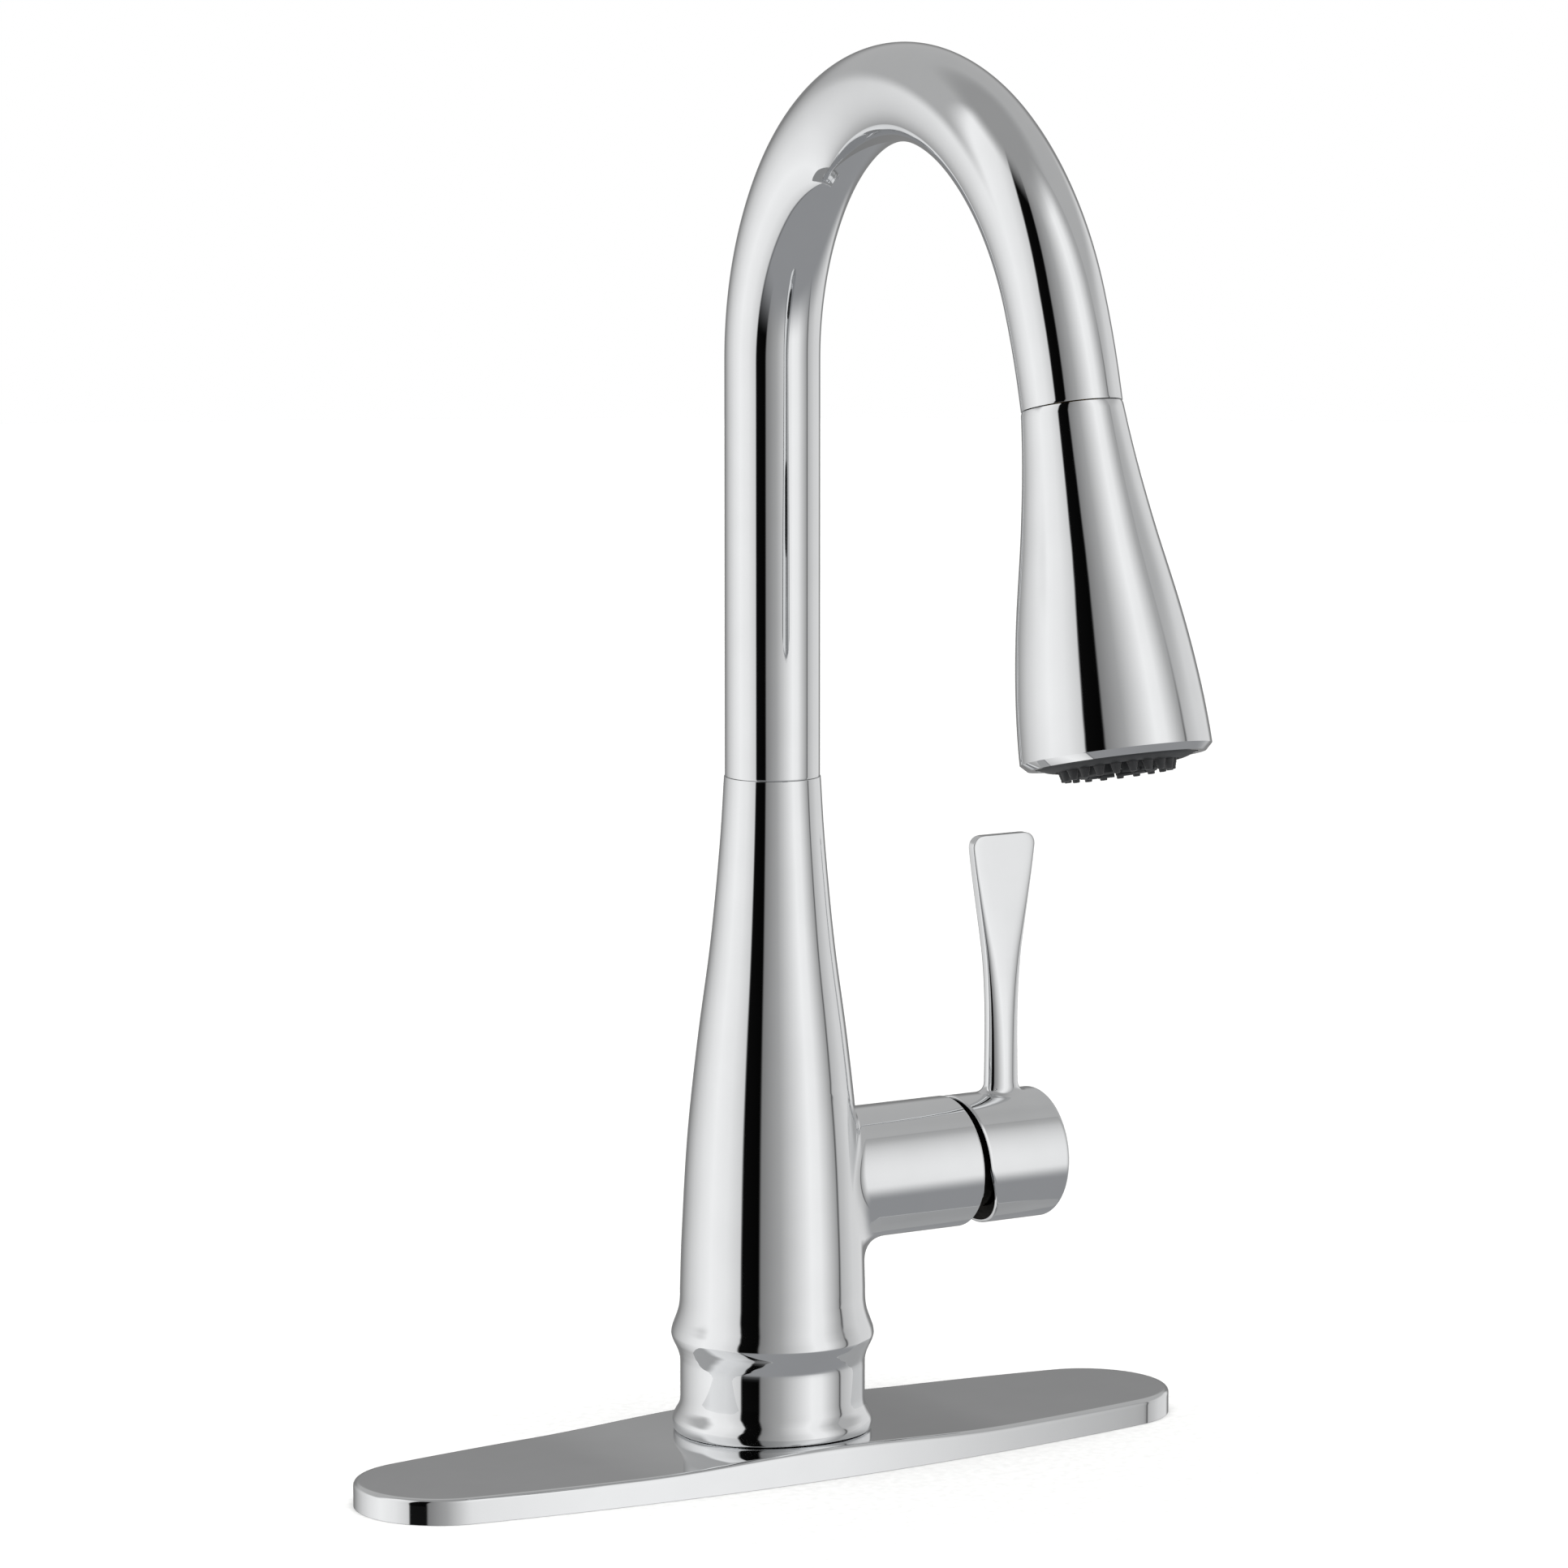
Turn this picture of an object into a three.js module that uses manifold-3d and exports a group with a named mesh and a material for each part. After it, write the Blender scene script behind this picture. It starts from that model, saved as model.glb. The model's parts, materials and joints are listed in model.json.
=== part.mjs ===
// Pull-down kitchen faucet with a deck plate, a side handle and a two-function spray head.
// Millimetres. The origin is the centre of the mounting hole on the deck's surface: +Z is up,
// -Y is the front, where the spout reaches over the sink, and +X points at the handle.
import * as THREE from "three";
import { mergeVertices } from "three/addons/utils/BufferGeometryUtils.js";
import Module from "manifold-3d";

const wasm = await Module();
wasm.setup();

// ---- driving dimensions -------------------------------------------------------------------
const GAP = 0.3; // clearance between neighbouring pieces
const ROUND = 24; // sides of the large round pieces
const SMALL_ROUND = 12; // sides of the small round pieces

const PLATE = {
  halfLength: 130, endRadius: 24, halfWidth: 32.5, wall: 1.4,
  wingHeight: 7, centreRise: 1.8, riseReach: 62, edgeRadius: 1.4,
};
const PLATE_TOP = PLATE.wingHeight + PLATE.centreRise;
const DECK_HOLE_RADIUS = 17.45;

const BODY = { bottom: PLATE_TOP + GAP, top: 192.3, neckRadius: 25.8, beadRadius: 28.3, lowBeadRadius: 28 };
const SPOUT_BORE = { radius: 11.9, bottom: 115 };
const HOSE_BORE_RADIUS = 7.5;
const SHANK = { radius: 16.6, bore: 14.6, top: 28, bottom: -62 };

const VALVE_HEIGHT = 77.9; // the collar, cartridge and handle share this axis, along +X
const COLLAR = { radius: 18.6, end: 58.9, bore: 15.3, floor: 20 };
const HANDLE = { radius: 18.5, start: 60.8, end: 87.8, cavity: 15.9, cutAngle: 19 };
const PIVOT_X = 61; // the lever tilts about this point on the valve axis
const LEVER = { x: 76.3, top: 170 };

const TUBE = { radius: 13.15, bore: 11.6, bottom: BODY.top + GAP, archStart: 307.4 };
// The arch leaves the riser as tangent arcs, each [radius, degrees], then a short straight end.
const ARCH = [[81.6, 35.8], [68.7, 21.3], [63, 46.3], [71.2, 20.5], [83.4, 34.9], [187, 7.8]];
const ARCH_END = 2.6;
const HOSE = { radius: 5.2, bottom: -66, endAboveSeam: 21 };

const HEAD = { length: 91.8, rim: 24.8, bevel: 1.8, faceRadius: 21, wall: 2 };
const NOZZLES = { count: 20, pitchRadius: 13.8, base: 1.35, tip: 0.85, foot: 92.5, end: 95.6 };
const BUTTON = { along: 47, length: 26, width: 13, clearance: 0.8, pinDepth: 12.5, tilt: 4 };

// ---- colours ------------------------------------------------------------------------------
const finish = (color, metalness, roughness) => ({ color, metalness, roughness });
const CHROME = finish(0xc8cacd, 1, 0.08);
const BRASS = finish(0xb5924c, 1, 0.35);
const STEEL = finish(0x9a9c9e, 1, 0.3);
const DARK_PLASTIC = finish(0x2b2d30, 0, 0.5);
const GREY_PLASTIC = finish(0x6d7073, 0, 0.5);
const WHITE_PLASTIC = finish(0xdedcd4, 0, 0.45);
const RUBBER = finish(0x1c1c1d, 0, 0.8);
const CERAMIC = finish(0xe8e6df, 0, 0.25);
const BRAID = finish(0x3a3c40, 0, 0.7);

// ---- shaping ------------------------------------------------------------------------------
// Merges a geometry by position, drops flat triangles and turns its faces outward.
function closed(geometry) {
  const bare = geometry.index ? geometry.toNonIndexed() : geometry.clone();
  for (const name of Object.keys(bare.attributes)) {
    if (name !== "position") bare.deleteAttribute(name);
  }
  const merged = mergeVertices(bare, 1e-4);
  const p = merged.attributes.position;
  const faces = [];
  const [a, b, c] = [new THREE.Vector3(), new THREE.Vector3(), new THREE.Vector3()];
  let volume = 0;
  for (let i = 0; i < merged.index.count; i += 3) {
    const [i0, i1, i2] = [0, 1, 2].map((k) => merged.index.getX(i + k));
    if (i0 === i1 || i1 === i2 || i2 === i0) continue;
    faces.push([i0, i1, i2]);
    volume += a.fromBufferAttribute(p, i0).dot(b.fromBufferAttribute(p, i1)
      .cross(c.fromBufferAttribute(p, i2)));
  }
  const outward = volume < 0 ? faces.map(([x, y, z]) => [x, z, y]) : faces;
  merged.setIndex(outward.flat());
  return merged;
}

function toSolid(geometry) {
  const merged = closed(geometry);
  return new wasm.Manifold(new wasm.Mesh({
    numProp: 3,
    vertProperties: new Float32Array(merged.attributes.position.array),
    triVerts: new Uint32Array(merged.index.array),
  }));
}

function fromSolid(solid) {
  const mesh = solid.getMesh();
  const geometry = new THREE.BufferGeometry();
  geometry.setAttribute("position", new THREE.BufferAttribute(new Float32Array(mesh.vertProperties), 3));
  geometry.setIndex(Array.from(mesh.triVerts));
  return geometry;
}

const cut = (base, ...tools) =>
  fromSolid(tools.reduce((solid, tool) => solid.subtract(toSolid(tool)), toSolid(base)));
const join = (base, ...others) =>
  fromSolid(others.reduce((solid, other) => solid.add(toSolid(other)), toSolid(base)));
const keep = (base, mask) => fromSolid(toSolid(base).intersect(toSolid(mask)));

// A solid of revolution about Z from [radius, height] points; a profile off the axis closes on itself.
function turned(profile, sides = ROUND) {
  const points = profile.map(([r, z]) => new THREE.Vector2(r, z));
  const onAxis = profile[0][0] === 0 && profile[profile.length - 1][0] === 0;
  if (!onAxis) points.push(points[0].clone());
  return closed(new THREE.LatheGeometry(points, sides).rotateX(Math.PI / 2));
}

const rod = (radius, low, high, sides = SMALL_ROUND) =>
  turned([[0, low], [radius, low], [radius, high], [0, high]], sides);
const ring = (inner, outer, low, high, sides = 16) =>
  turned([[inner, low], [outer, low], [outer, high], [inner, high]], sides);
const at = (geometry, x, y, z) => geometry.translate(x, y, z);
// Turns a piece made along +Z so that it lies along +X.
const alongX = (geometry) => geometry.rotateY(Math.PI / 2);

// Points along smooth [radius, height] control points.
function smoothProfile(controls, steps) {
  const curve = new THREE.SplineCurve(controls.map(([r, z]) => new THREE.Vector2(r, z)));
  return curve.getPoints(steps).map((p) => [p.x, p.y]);
}

// Skins a stack of rings of equal count; each end ring is convex and closed by strips across it.
function stack(rings) {
  const count = rings[0].length;
  const index = [];
  for (let k = 0; k + 1 < rings.length; k++) {
    for (let i = 0; i < count; i++) {
      const [a, b] = [k * count + i, k * count + ((i + 1) % count)];
      index.push(a, b, b + count, a, b + count, a + count);
    }
  }
  const capEnd = (first, flip) => {
    for (let i = 1; i + 1 <= count / 2; i++) {
      const [a, b] = [first + i - 1, first + i];
      const [c, d] = [first + ((count - i) % count), first + ((count - i + 1) % count)];
      const quad = flip ? [a, c, b, a, d, c] : [a, b, c, a, c, d];
      index.push(...quad);
    }
    const half = count / 2;
    const last = [first + half - 1, first + half, first + half + 1];
    index.push(...(flip ? last.reverse() : last));
  };
  capEnd(0, true);
  capEnd((rings.length - 1) * count, false);
  const geometry = new THREE.BufferGeometry();
  const flat = rings.flat().flatMap((v) => [v.x, v.y, v.z]);
  geometry.setAttribute("position", new THREE.Float32BufferAttribute(flat, 3));
  geometry.setIndex(index);
  return closed(geometry);
}

// ---- deck plate ---------------------------------------------------------------------------
// The plate's outline: two round ends joined by long shallow arcs, moved inward by an inset.
function plateOutline(inset) {
  const endCentre = PLATE.halfLength - PLATE.endRadius;
  const rise = PLATE.halfWidth;
  const sideRadius = (endCentre ** 2 + rise ** 2 - PLATE.endRadius ** 2) / (2 * (rise - PLATE.endRadius));
  const sideStart = Math.atan2(sideRadius - rise, endCentre); // angle where the end arc meets the side
  const quarter = [];
  const endSteps = 5;
  for (let i = 0; i <= endSteps; i++) {
    const t = (sideStart * i) / endSteps;
    const r = PLATE.endRadius - inset;
    quarter.push([endCentre + r * Math.cos(t), r * Math.sin(t)]);
  }
  const sideSteps = 6;
  for (let i = 1; i <= sideSteps; i++) {
    const t = sideStart + ((Math.PI / 2 - sideStart) * i) / sideSteps;
    const r = sideRadius - inset;
    quarter.push([r * Math.cos(t), rise - sideRadius + r * Math.sin(t)]);
  }
  const left = quarter.slice(0, -1).reverse().map(([x, y]) => [-x, y]);
  const back = [...quarter, ...left];
  const front = back.slice(1, -1).reverse().map(([x, y]) => [x, -y]);
  return [...back, ...front];
}

function plateHeight(x) {
  const t = Math.min(Math.abs(x) / PLATE.riseReach, 1);
  return PLATE.wingHeight + PLATE.centreRise * Math.cos((Math.PI / 2) * t) ** 2;
}

function plateRing(inset, heightAt) {
  return plateOutline(inset).map(([x, y]) => new THREE.Vector3(x, y, heightAt(x)));
}

function deckPlate() {
  const e = PLATE.edgeRadius;
  const edge = [0, 30, 60, 90].map((degrees) => {
    const t = THREE.MathUtils.degToRad(degrees);
    return plateRing(e * (1 - Math.cos(t)), (x) => plateHeight(x) - e * (1 - Math.sin(t)));
  });
  const outer = stack([plateRing(0, () => 0), ...edge]);
  const pocket = stack([
    plateRing(PLATE.wall, () => -1),
    plateRing(PLATE.wall, (x) => plateHeight(x) - PLATE.wall),
  ]);
  return cut(outer, pocket, rod(DECK_HOLE_RADIUS, -1, PLATE_TOP + 1, ROUND));
}

// The moulded support under the plate. Its flat underside is the face that rests on the deck.
function plateSupport() {
  const inset = PLATE.wall + GAP;
  const blank = stack([
    plateRing(inset, () => 0),
    plateRing(inset, (x) => plateHeight(x) - PLATE.wall - GAP),
  ]);
  const pocketLengths = [[40, 62], [66, 88], [92, 112]];
  const pockets = pocketLengths.flatMap(([near, far]) => [1, -1].map((side) => {
    const box = new THREE.BoxGeometry(far - near, 30, 20);
    return at(box, (side * (near + far)) / 2, 0, 0);
  }));
  const sealGroove = stack([plateRing(5, () => -1), plateRing(5, () => 1.6)]);
  const sealIsland = stack([plateRing(9, () => -2), plateRing(9, () => 3)]);
  return cut(blank, cut(sealGroove, sealIsland), ...pockets, rod(DECK_HOLE_RADIUS, -1, 12, ROUND));
}

function plateSeal() {
  const outer = stack([plateRing(5 + GAP, () => 0), plateRing(5 + GAP, () => 1.3)]);
  return cut(outer, stack([plateRing(9 - GAP, () => -1), plateRing(9 - GAP, () => 3)]));
}

// ---- body ---------------------------------------------------------------------------------
function bodyOuter() {
  const { bottom, top, neckRadius, beadRadius, lowBeadRadius } = BODY;
  const foot = [[0, bottom], [lowBeadRadius - 1, bottom], [lowBeadRadius, bottom + 1.4],
    [lowBeadRadius - 0.4, bottom + 3.2], [neckRadius + 0.6, bottom + 4.8], [neckRadius, bottom + 6.6]];
  const bead = [[neckRadius, 28], [neckRadius + 1, 28.6], [beadRadius - 0.7, 32.4], [beadRadius, 35.2],
    [beadRadius - 0.7, 38], [neckRadius + 0.7, 41], [neckRadius + 0.1, 45]];
  const column = smoothProfile([[25.8, 50], [25.3, 64.5], [23.7, 91.6], [20.8, 118.8], [17.2, 145.9],
    [14.6, 173.1], [13.4, top]], 11);
  return turned([...foot, ...bead, ...column, [0, top]]);
}

// Hot, cold and mixed-water passages: [x, y] of each drilling, clear of the hose in the middle.
const PASSAGES = { hot: [8.4, 7.1], cold: [8.4, -7.1], mixed: [11, 0] };
const PORT_HEIGHT = { hot: 80, cold: 80, mixed: 70 };
const PASSAGE_RADIUS = 2.1;
const NIPPLE = { radius: 3, bore: 1.9, top: 37.5, bottom: -80 };

function faucetBody() {
  const collar = at(alongX(rod(COLLAR.radius, 0, COLLAR.end, ROUND)), 0, 0, VALVE_HEIGHT);
  const root = turned([[0, 4], [26, 4], [22.4, 29], [COLLAR.radius, 36], [0, 36]]);
  const collarRoot = at(alongX(root), 0, 0, VALVE_HEIGHT - 3);
  const bore = turned([[0, SPOUT_BORE.bottom], [SPOUT_BORE.radius, SPOUT_BORE.bottom],
    [SPOUT_BORE.radius, 120], [12.7, 120.3], [12.7, 122.4], [SPOUT_BORE.radius, 122.7],
    [SPOUT_BORE.radius, BODY.top + 1], [0, BODY.top + 1]]);
  const sealGroove = ring(21.5, 24.5, 0, BODY.bottom + 1.5);
  const chamber = at(alongX(rod(COLLAR.bore, COLLAR.floor, COLLAR.end + 1, ROUND)), 0, 0, VALVE_HEIGHT);
  const drillings = Object.entries(PASSAGES).flatMap(([name, [x, y]]) => {
    const port = alongX(rod(PASSAGE_RADIUS, x, COLLAR.floor + 1, 12));
    return [
      at(rod(PASSAGE_RADIUS, 30, PORT_HEIGHT[name], 12), x, y, 0),
      at(rod(NIPPLE.radius + GAP, 20, NIPPLE.top + GAP, 16), x, y, 0),
      at(port, 0, y, PORT_HEIGHT[name]),
    ];
  });
  return cut(join(bodyOuter(), collar, collarRoot), bore, chamber, sealGroove,
    rod(HOSE_BORE_RADIUS, 0, SPOUT_BORE.bottom + 1), rod(SHANK.radius + GAP, 0, SHANK.top + GAP, ROUND),
    ...drillings);
}

const nipple = ([x, y]) => at(ring(NIPPLE.bore, NIPPLE.radius, NIPPLE.bottom, NIPPLE.top, 16), x, y, 0);

// ---- under the deck -----------------------------------------------------------------------
const NUT = { inner: SHANK.radius + GAP, top: -33.2, bottom: -46, radius: 24 };
const NUT_SCREW_OFFSET = 20.6;

function mountingNut() {
  const hexagon = turned([[0, NUT.bottom], [NUT.radius, NUT.bottom], [NUT.radius, NUT.top], [0, NUT.top]], 6);
  const holes = [1, -1].map((side) =>
    at(rod(1.9, NUT.bottom - 1, NUT.top + 1, 12), side * NUT_SCREW_OFFSET, 0, 0));
  return cut(hexagon, rod(NUT.inner, NUT.bottom - 1, NUT.top + 1, ROUND), ...holes);
}

function nutScrew(side) {
  const shaft = turned([[0, NUT.bottom - 5], [3, NUT.bottom - 5], [3, NUT.bottom - 1.4],
    [1.6, NUT.bottom - 1.4], [1.6, NUT.top + 0.4], [0, NUT.top + 0.4]], 12);
  const slot = at(new THREE.BoxGeometry(1.2, 8, 2.4), 0, 0, NUT.bottom - 5);
  return at(cut(shaft, slot), side * NUT_SCREW_OFFSET, 0, 0);
}

// ---- valve, built along +Z from the chamber floor and turned to lie along +X ---------------
const CARTRIDGE = { bottom: COLLAR.floor + 1, radius: 14.6, top: 44 };
const STEM = { ball: 47.5, side: 6, top: 81.6 };
const DISC_OFFSET = 2.1; // with the lever off, the moving disc sits this far below the valve axis

function cartridgeHousing() {
  const shell = turned([[0, CARTRIDGE.bottom], [CARTRIDGE.radius, CARTRIDGE.bottom],
    [CARTRIDGE.radius, 40], [12.4, 40.4], [12.4, CARTRIDGE.top], [0, CARTRIDGE.top]]);
  const inside = rod(11.4, CARTRIDGE.bottom + 4, CARTRIDGE.top + 1, ROUND);
  return cut(shell, inside, ...portHoles(CARTRIDGE.bottom - 1, CARTRIDGE.bottom + 5, 2));
}

// Holes for the three ports, in the valve's own turned frame: local X is the part's -Z.
function portHoles(low, high, radius) {
  return Object.entries(PASSAGES).map(([name, [, y]]) =>
    at(rod(radius, low, high, 12), VALVE_HEIGHT - PORT_HEIGHT[name], y, 0));
}

function portSeal(name) {
  const [, y] = PASSAGES[name];
  return at(ring(1.6, 2.8, COLLAR.floor + 0.25, CARTRIDGE.bottom - 0.25, 16),
    VALVE_HEIGHT - PORT_HEIGHT[name], y, 0);
}

const fixedDisc = () => cut(rod(11, 25.3, 28.3, ROUND), ...portHoles(24, 30, 2));
// The moving disc's underside has a shallow pocket that bridges the ports.
function movingDisc() {
  const blank = rod(8.6, 28.6, 31.4, ROUND);
  return at(cut(blank, rod(5.6, 28, 29.8, ROUND)), DISC_OFFSET, 0, 0);
}

// The carrier holds the moving disc, and its neck takes the ball at the stem's inner end.
function discCarrier() {
  const flange = at(rod(8.6, 31.7, 36, ROUND), DISC_OFFSET, 0, 0);
  const neck = turned([[0, 34], [6.4, 34], [4.6, 37], [4.6, 50], [0, 50]]);
  return cut(join(flange, neck), rod(3.4, STEM.ball - 3.6, 51));
}

// A round rod with a ball at its inner end becomes a square bar that passes over the pivot pin.
function valveStem() {
  const ball = at(new THREE.SphereGeometry(3.1, 10, 8), 0, 0, STEM.ball);
  const neck = rod(2.2, STEM.ball, 54);
  const square = at(new THREE.BoxGeometry(STEM.side, STEM.side, STEM.top - 53), 0, 0, (STEM.top + 53) / 2);
  return cut(join(square, neck, ball), crossPin(1.6, 8));
}

// A round bar across the valve axis at the lever's pivot.
const crossPin = (radius, halfLength) =>
  at(rod(radius, -halfLength, halfLength, 12).rotateX(Math.PI / 2), 0, 0, PIVOT_X);

// The yoke turns with the handle for temperature; its two ears carry the pin the lever tilts on.
function stemYoke() {
  const ears = [1, -1].map((side) => at(new THREE.BoxGeometry(6, 3.4, 8), 0, side * 10, 60));
  return cut(join(ring(7.6, 12.4, 51.4, 57), ...ears), crossPin(1.6, 14));
}

const cartridgeCap = () => turned([[9.2, 38.9], [11.1, 38.9], [11.1, 43.6], [9.2, 43.6]]);

function retainingNut() {
  const blank = ring(9.6, COLLAR.bore - GAP, CARTRIDGE.top + GAP, 51);
  const notches = [0, 1, 2, 3].map((i) => at(new THREE.BoxGeometry(6, 4, 4), 14, 0, 51)
    .rotateZ((i * Math.PI) / 2));
  return cut(blank, ...notches);
}

// A domed cover over the cartridge nut, centred on the pivot so that the handle clears it.
function bonnet() {
  const radius = HANDLE.cavity - 0.9;
  const arc = (r, from, to) => Array.from({ length: 5 }, (_, i) => {
    const t = THREE.MathUtils.degToRad(from + ((to - from) * i) / 4);
    return [r * Math.cos(t), PIVOT_X + r * Math.sin(t)];
  });
  return turned([[radius, 52], ...arc(radius, -6, 50), ...arc(radius - 1.5, 48, -6), [radius - 1.5, 52]]);
}

// ---- handle -------------------------------------------------------------------------------
function handleCasting() {
  const { radius, start, end, cavity, cutAngle } = HANDLE;
  const hubBlank = turned([[0, start], [radius, start], [radius, end - 1], [radius - 0.3, end - 0.3],
    [radius - 1, end], [0, end]]);
  const hub = at(alongX(hubBlank), 0, 0, VALVE_HEIGHT);
  // The lower half of the rim leans back, so the hub can tilt without touching the collar.
  const wedge = at(new THREE.BoxGeometry(40, 80, 60), -20, 0, -30)
    .rotateY(THREE.MathUtils.degToRad(-cutAngle));
  at(wedge, start, 0, VALVE_HEIGHT);
  const hollow = at(new THREE.SphereGeometry(cavity, 20, 12), PIVOT_X, 0, VALVE_HEIGHT);
  const socket = at(alongX(rod(7.6, PIVOT_X, 85, 24)), 0, 0, VALVE_HEIGHT);
  const screwHole = at(rod(2.3, -25, 0, 12), 80.5, 0, VALVE_HEIGHT);
  return cut(join(hub, leverBlade()), wedge, hollow, socket, screwHole);
}

// Each section of the lever: [height, width, thickness].
const LEVER_SECTIONS = [[93, 10.4, 7.6], [98, 10, 7.2], [104, 9.9, 7.2], [117, 9.7, 6.4], [127, 10.3, 5.6],
  [136, 11.6, 4.8], [145, 14.2, 4.1], [154, 16.9, 3.6], [163, 19.6, 3.3], [166.5, 20.3, 3.2],
  [168.6, 19, 3.1], [LEVER.top, 15.6, 2.8]];

function leverBlade() {
  const sides = 20;
  const rings = LEVER_SECTIONS.map(([z, width, thickness]) => {
    const square = THREE.MathUtils.clamp((width / thickness - 1.2) / 3, 0, 1); // 0 oval, 1 flat-faced
    const power = 1 - 0.62 * square;
    return Array.from({ length: sides }, (_, i) => {
      const t = (2 * Math.PI * i) / sides;
      const bend = (v) => Math.sign(v) * Math.abs(v) ** power;
      const x = LEVER.x + (width / 2) * bend(Math.cos(t));
      return new THREE.Vector3(x, (thickness / 2) * bend(Math.sin(t)), z);
    });
  });
  return stack(rings);
}

function leverAdapter() {
  const square = new THREE.BoxGeometry(STEM.side + 2 * GAP, STEM.side + 2 * GAP, 8);
  return cut(rod(7.3, 75.2, 84.6, 24), at(square, 0, 0, STEM.top + GAP - 4));
}
const setScrew = () => cut(rod(2, -12.6, -7.7, 12), rod(1, -14, -10.6, 6));
const screwPlug = () => rod(2, -17.9, -13.4, 12);

// ---- spout --------------------------------------------------------------------------------
// The spout's centreline from a height on the riser to a distance before the seam.
function spoutPath(from, stopBeforeSeam) {
  const path = new THREE.CurvePath();
  let point = new THREE.Vector3(0, 0, TUBE.archStart);
  path.add(new THREE.LineCurve3(new THREE.Vector3(0, 0, from), point.clone()));
  let heading = 0; // degrees turned from straight up, towards -Y
  const pieces = ARCH.map(([radius, degrees]) => ({ radius, degrees }));
  let spare = stopBeforeSeam - ARCH_END;
  for (const piece of [...pieces].reverse()) {
    const length = piece.radius * THREE.MathUtils.degToRad(piece.degrees);
    const taken = Math.min(Math.max(spare, 0), length);
    piece.degrees *= 1 - taken / length;
    spare -= taken;
  }
  for (const { radius, degrees } of pieces) {
    if (degrees < 1e-6) continue;
    const arc = new ArcCurve(point, heading, radius, degrees);
    path.add(arc);
    point = arc.getPoint(1);
    heading += degrees;
  }
  if (stopBeforeSeam < ARCH_END) {
    const ahead = headingVector(heading).multiplyScalar(ARCH_END - stopBeforeSeam);
    path.add(new THREE.LineCurve3(point.clone(), point.clone().add(ahead)));
  }
  return path;
}

function headingVector(degrees) {
  const t = THREE.MathUtils.degToRad(degrees);
  return new THREE.Vector3(0, -Math.sin(t), Math.cos(t));
}

// An arc in the YZ plane that bends from its heading towards -Y.
class ArcCurve extends THREE.Curve {
  constructor(start, heading, radius, degrees) {
    super();
    Object.assign(this, { start: start.clone(), heading, radius, degrees });
  }

  getPoint(t, target = new THREE.Vector3()) {
    const inward = headingVector(this.heading + 90).multiplyScalar(this.radius);
    const outward = headingVector(this.heading + this.degrees * t + 90).multiplyScalar(-this.radius);
    return target.copy(this.start).add(inward).add(outward);
  }
}

function disc(radius, sides) {
  const points = Array.from({ length: sides }, (_, i) => {
    const t = (2 * Math.PI * i) / sides;
    return new THREE.Vector2(radius * Math.cos(t), radius * Math.sin(t));
  });
  return points;
}

function sweep(path, radius, bore, sides, steps) {
  const shape = new THREE.Shape(disc(radius, sides));
  if (bore) shape.holes.push(new THREE.Path(disc(bore, sides)));
  return closed(new THREE.ExtrudeGeometry(shape, { extrudePath: path, steps, bevelEnabled: false }));
}

const spoutTube = () => sweep(spoutPath(TUBE.bottom, 0), TUBE.radius, TUBE.bore, 16, 30);
const pullDownHose = () => sweep(spoutPath(HOSE.bottom, HOSE.endAboveSeam), HOSE.radius, 0, 8, 34);

function spoutStem() {
  return turned([[7.2, 118.6], [9.4, 118.6], [9.4, 120.2], [8.6, 120.2], [8.6, 122.5], [9.4, 122.5],
    [9.4, 190.6], [11.2, 190.6], [11.2, 208], [7.2, 208]], 16);
}

// An open ring that springs into the groove in the body and stops the stem from lifting out.
function retainingClip() {
  const slot = at(new THREE.BoxGeometry(14, 5, 6), 10, 0, 121.4);
  return cut(ring(8.9, 12.3, 120.6, 122.1), slot);
}

// ---- spray head, built along +Z from the seam towards the face ----------------------------
function headProfile(inset, steps = 11) {
  const controls = [[13.15, 0], [14, 8.6], [15.05, 17.3], [16.3, 25.9], [17.7, 34.5], [19.3, 43.2],
    [20.85, 51.8], [22.2, 60.5], [23.3, 69.1], [24.15, 77.7], [24.65, 85.6],
    [HEAD.rim, HEAD.length - HEAD.bevel]];
  return smoothProfile(controls.map(([r, z]) => [r - inset, z]), steps);
}

function buttonOutline(grow) {
  const [half, round] = [BUTTON.length / 2 + grow, BUTTON.width / 2 + grow];
  const shape = new THREE.Shape();
  shape.absarc(0, half - round, round, 0, Math.PI, false);
  shape.absarc(0, round - half, round, Math.PI, 2 * Math.PI, false);
  return shape;
}

// A prism with the button's outline, standing out of the head's rear side (local -Y).
function buttonPrism(grow, near, far) {
  const options = { depth: far - near, bevelEnabled: false, curveSegments: 8 };
  const prism = new THREE.ExtrudeGeometry(buttonOutline(grow), options);
  // Extruded along Z with its length along Y: lay it down so that its length runs along the head.
  return prism.rotateX(Math.PI / 2).translate(0, -near, BUTTON.along);
}

function headShell() {
  const outside = headProfile(0);
  const inside = headProfile(HEAD.wall, 5).reverse();
  const rim = [[HEAD.rim - HEAD.bevel, HEAD.length], [HEAD.faceRadius, HEAD.length], [HEAD.faceRadius, 89]];
  const shell = turned([[13.15, GAP], ...outside.slice(1), ...rim, ...inside.slice(1, -1), [11.15, GAP]]);
  return cut(shell, buttonPrism(BUTTON.clearance, 12, 30));
}

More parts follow.
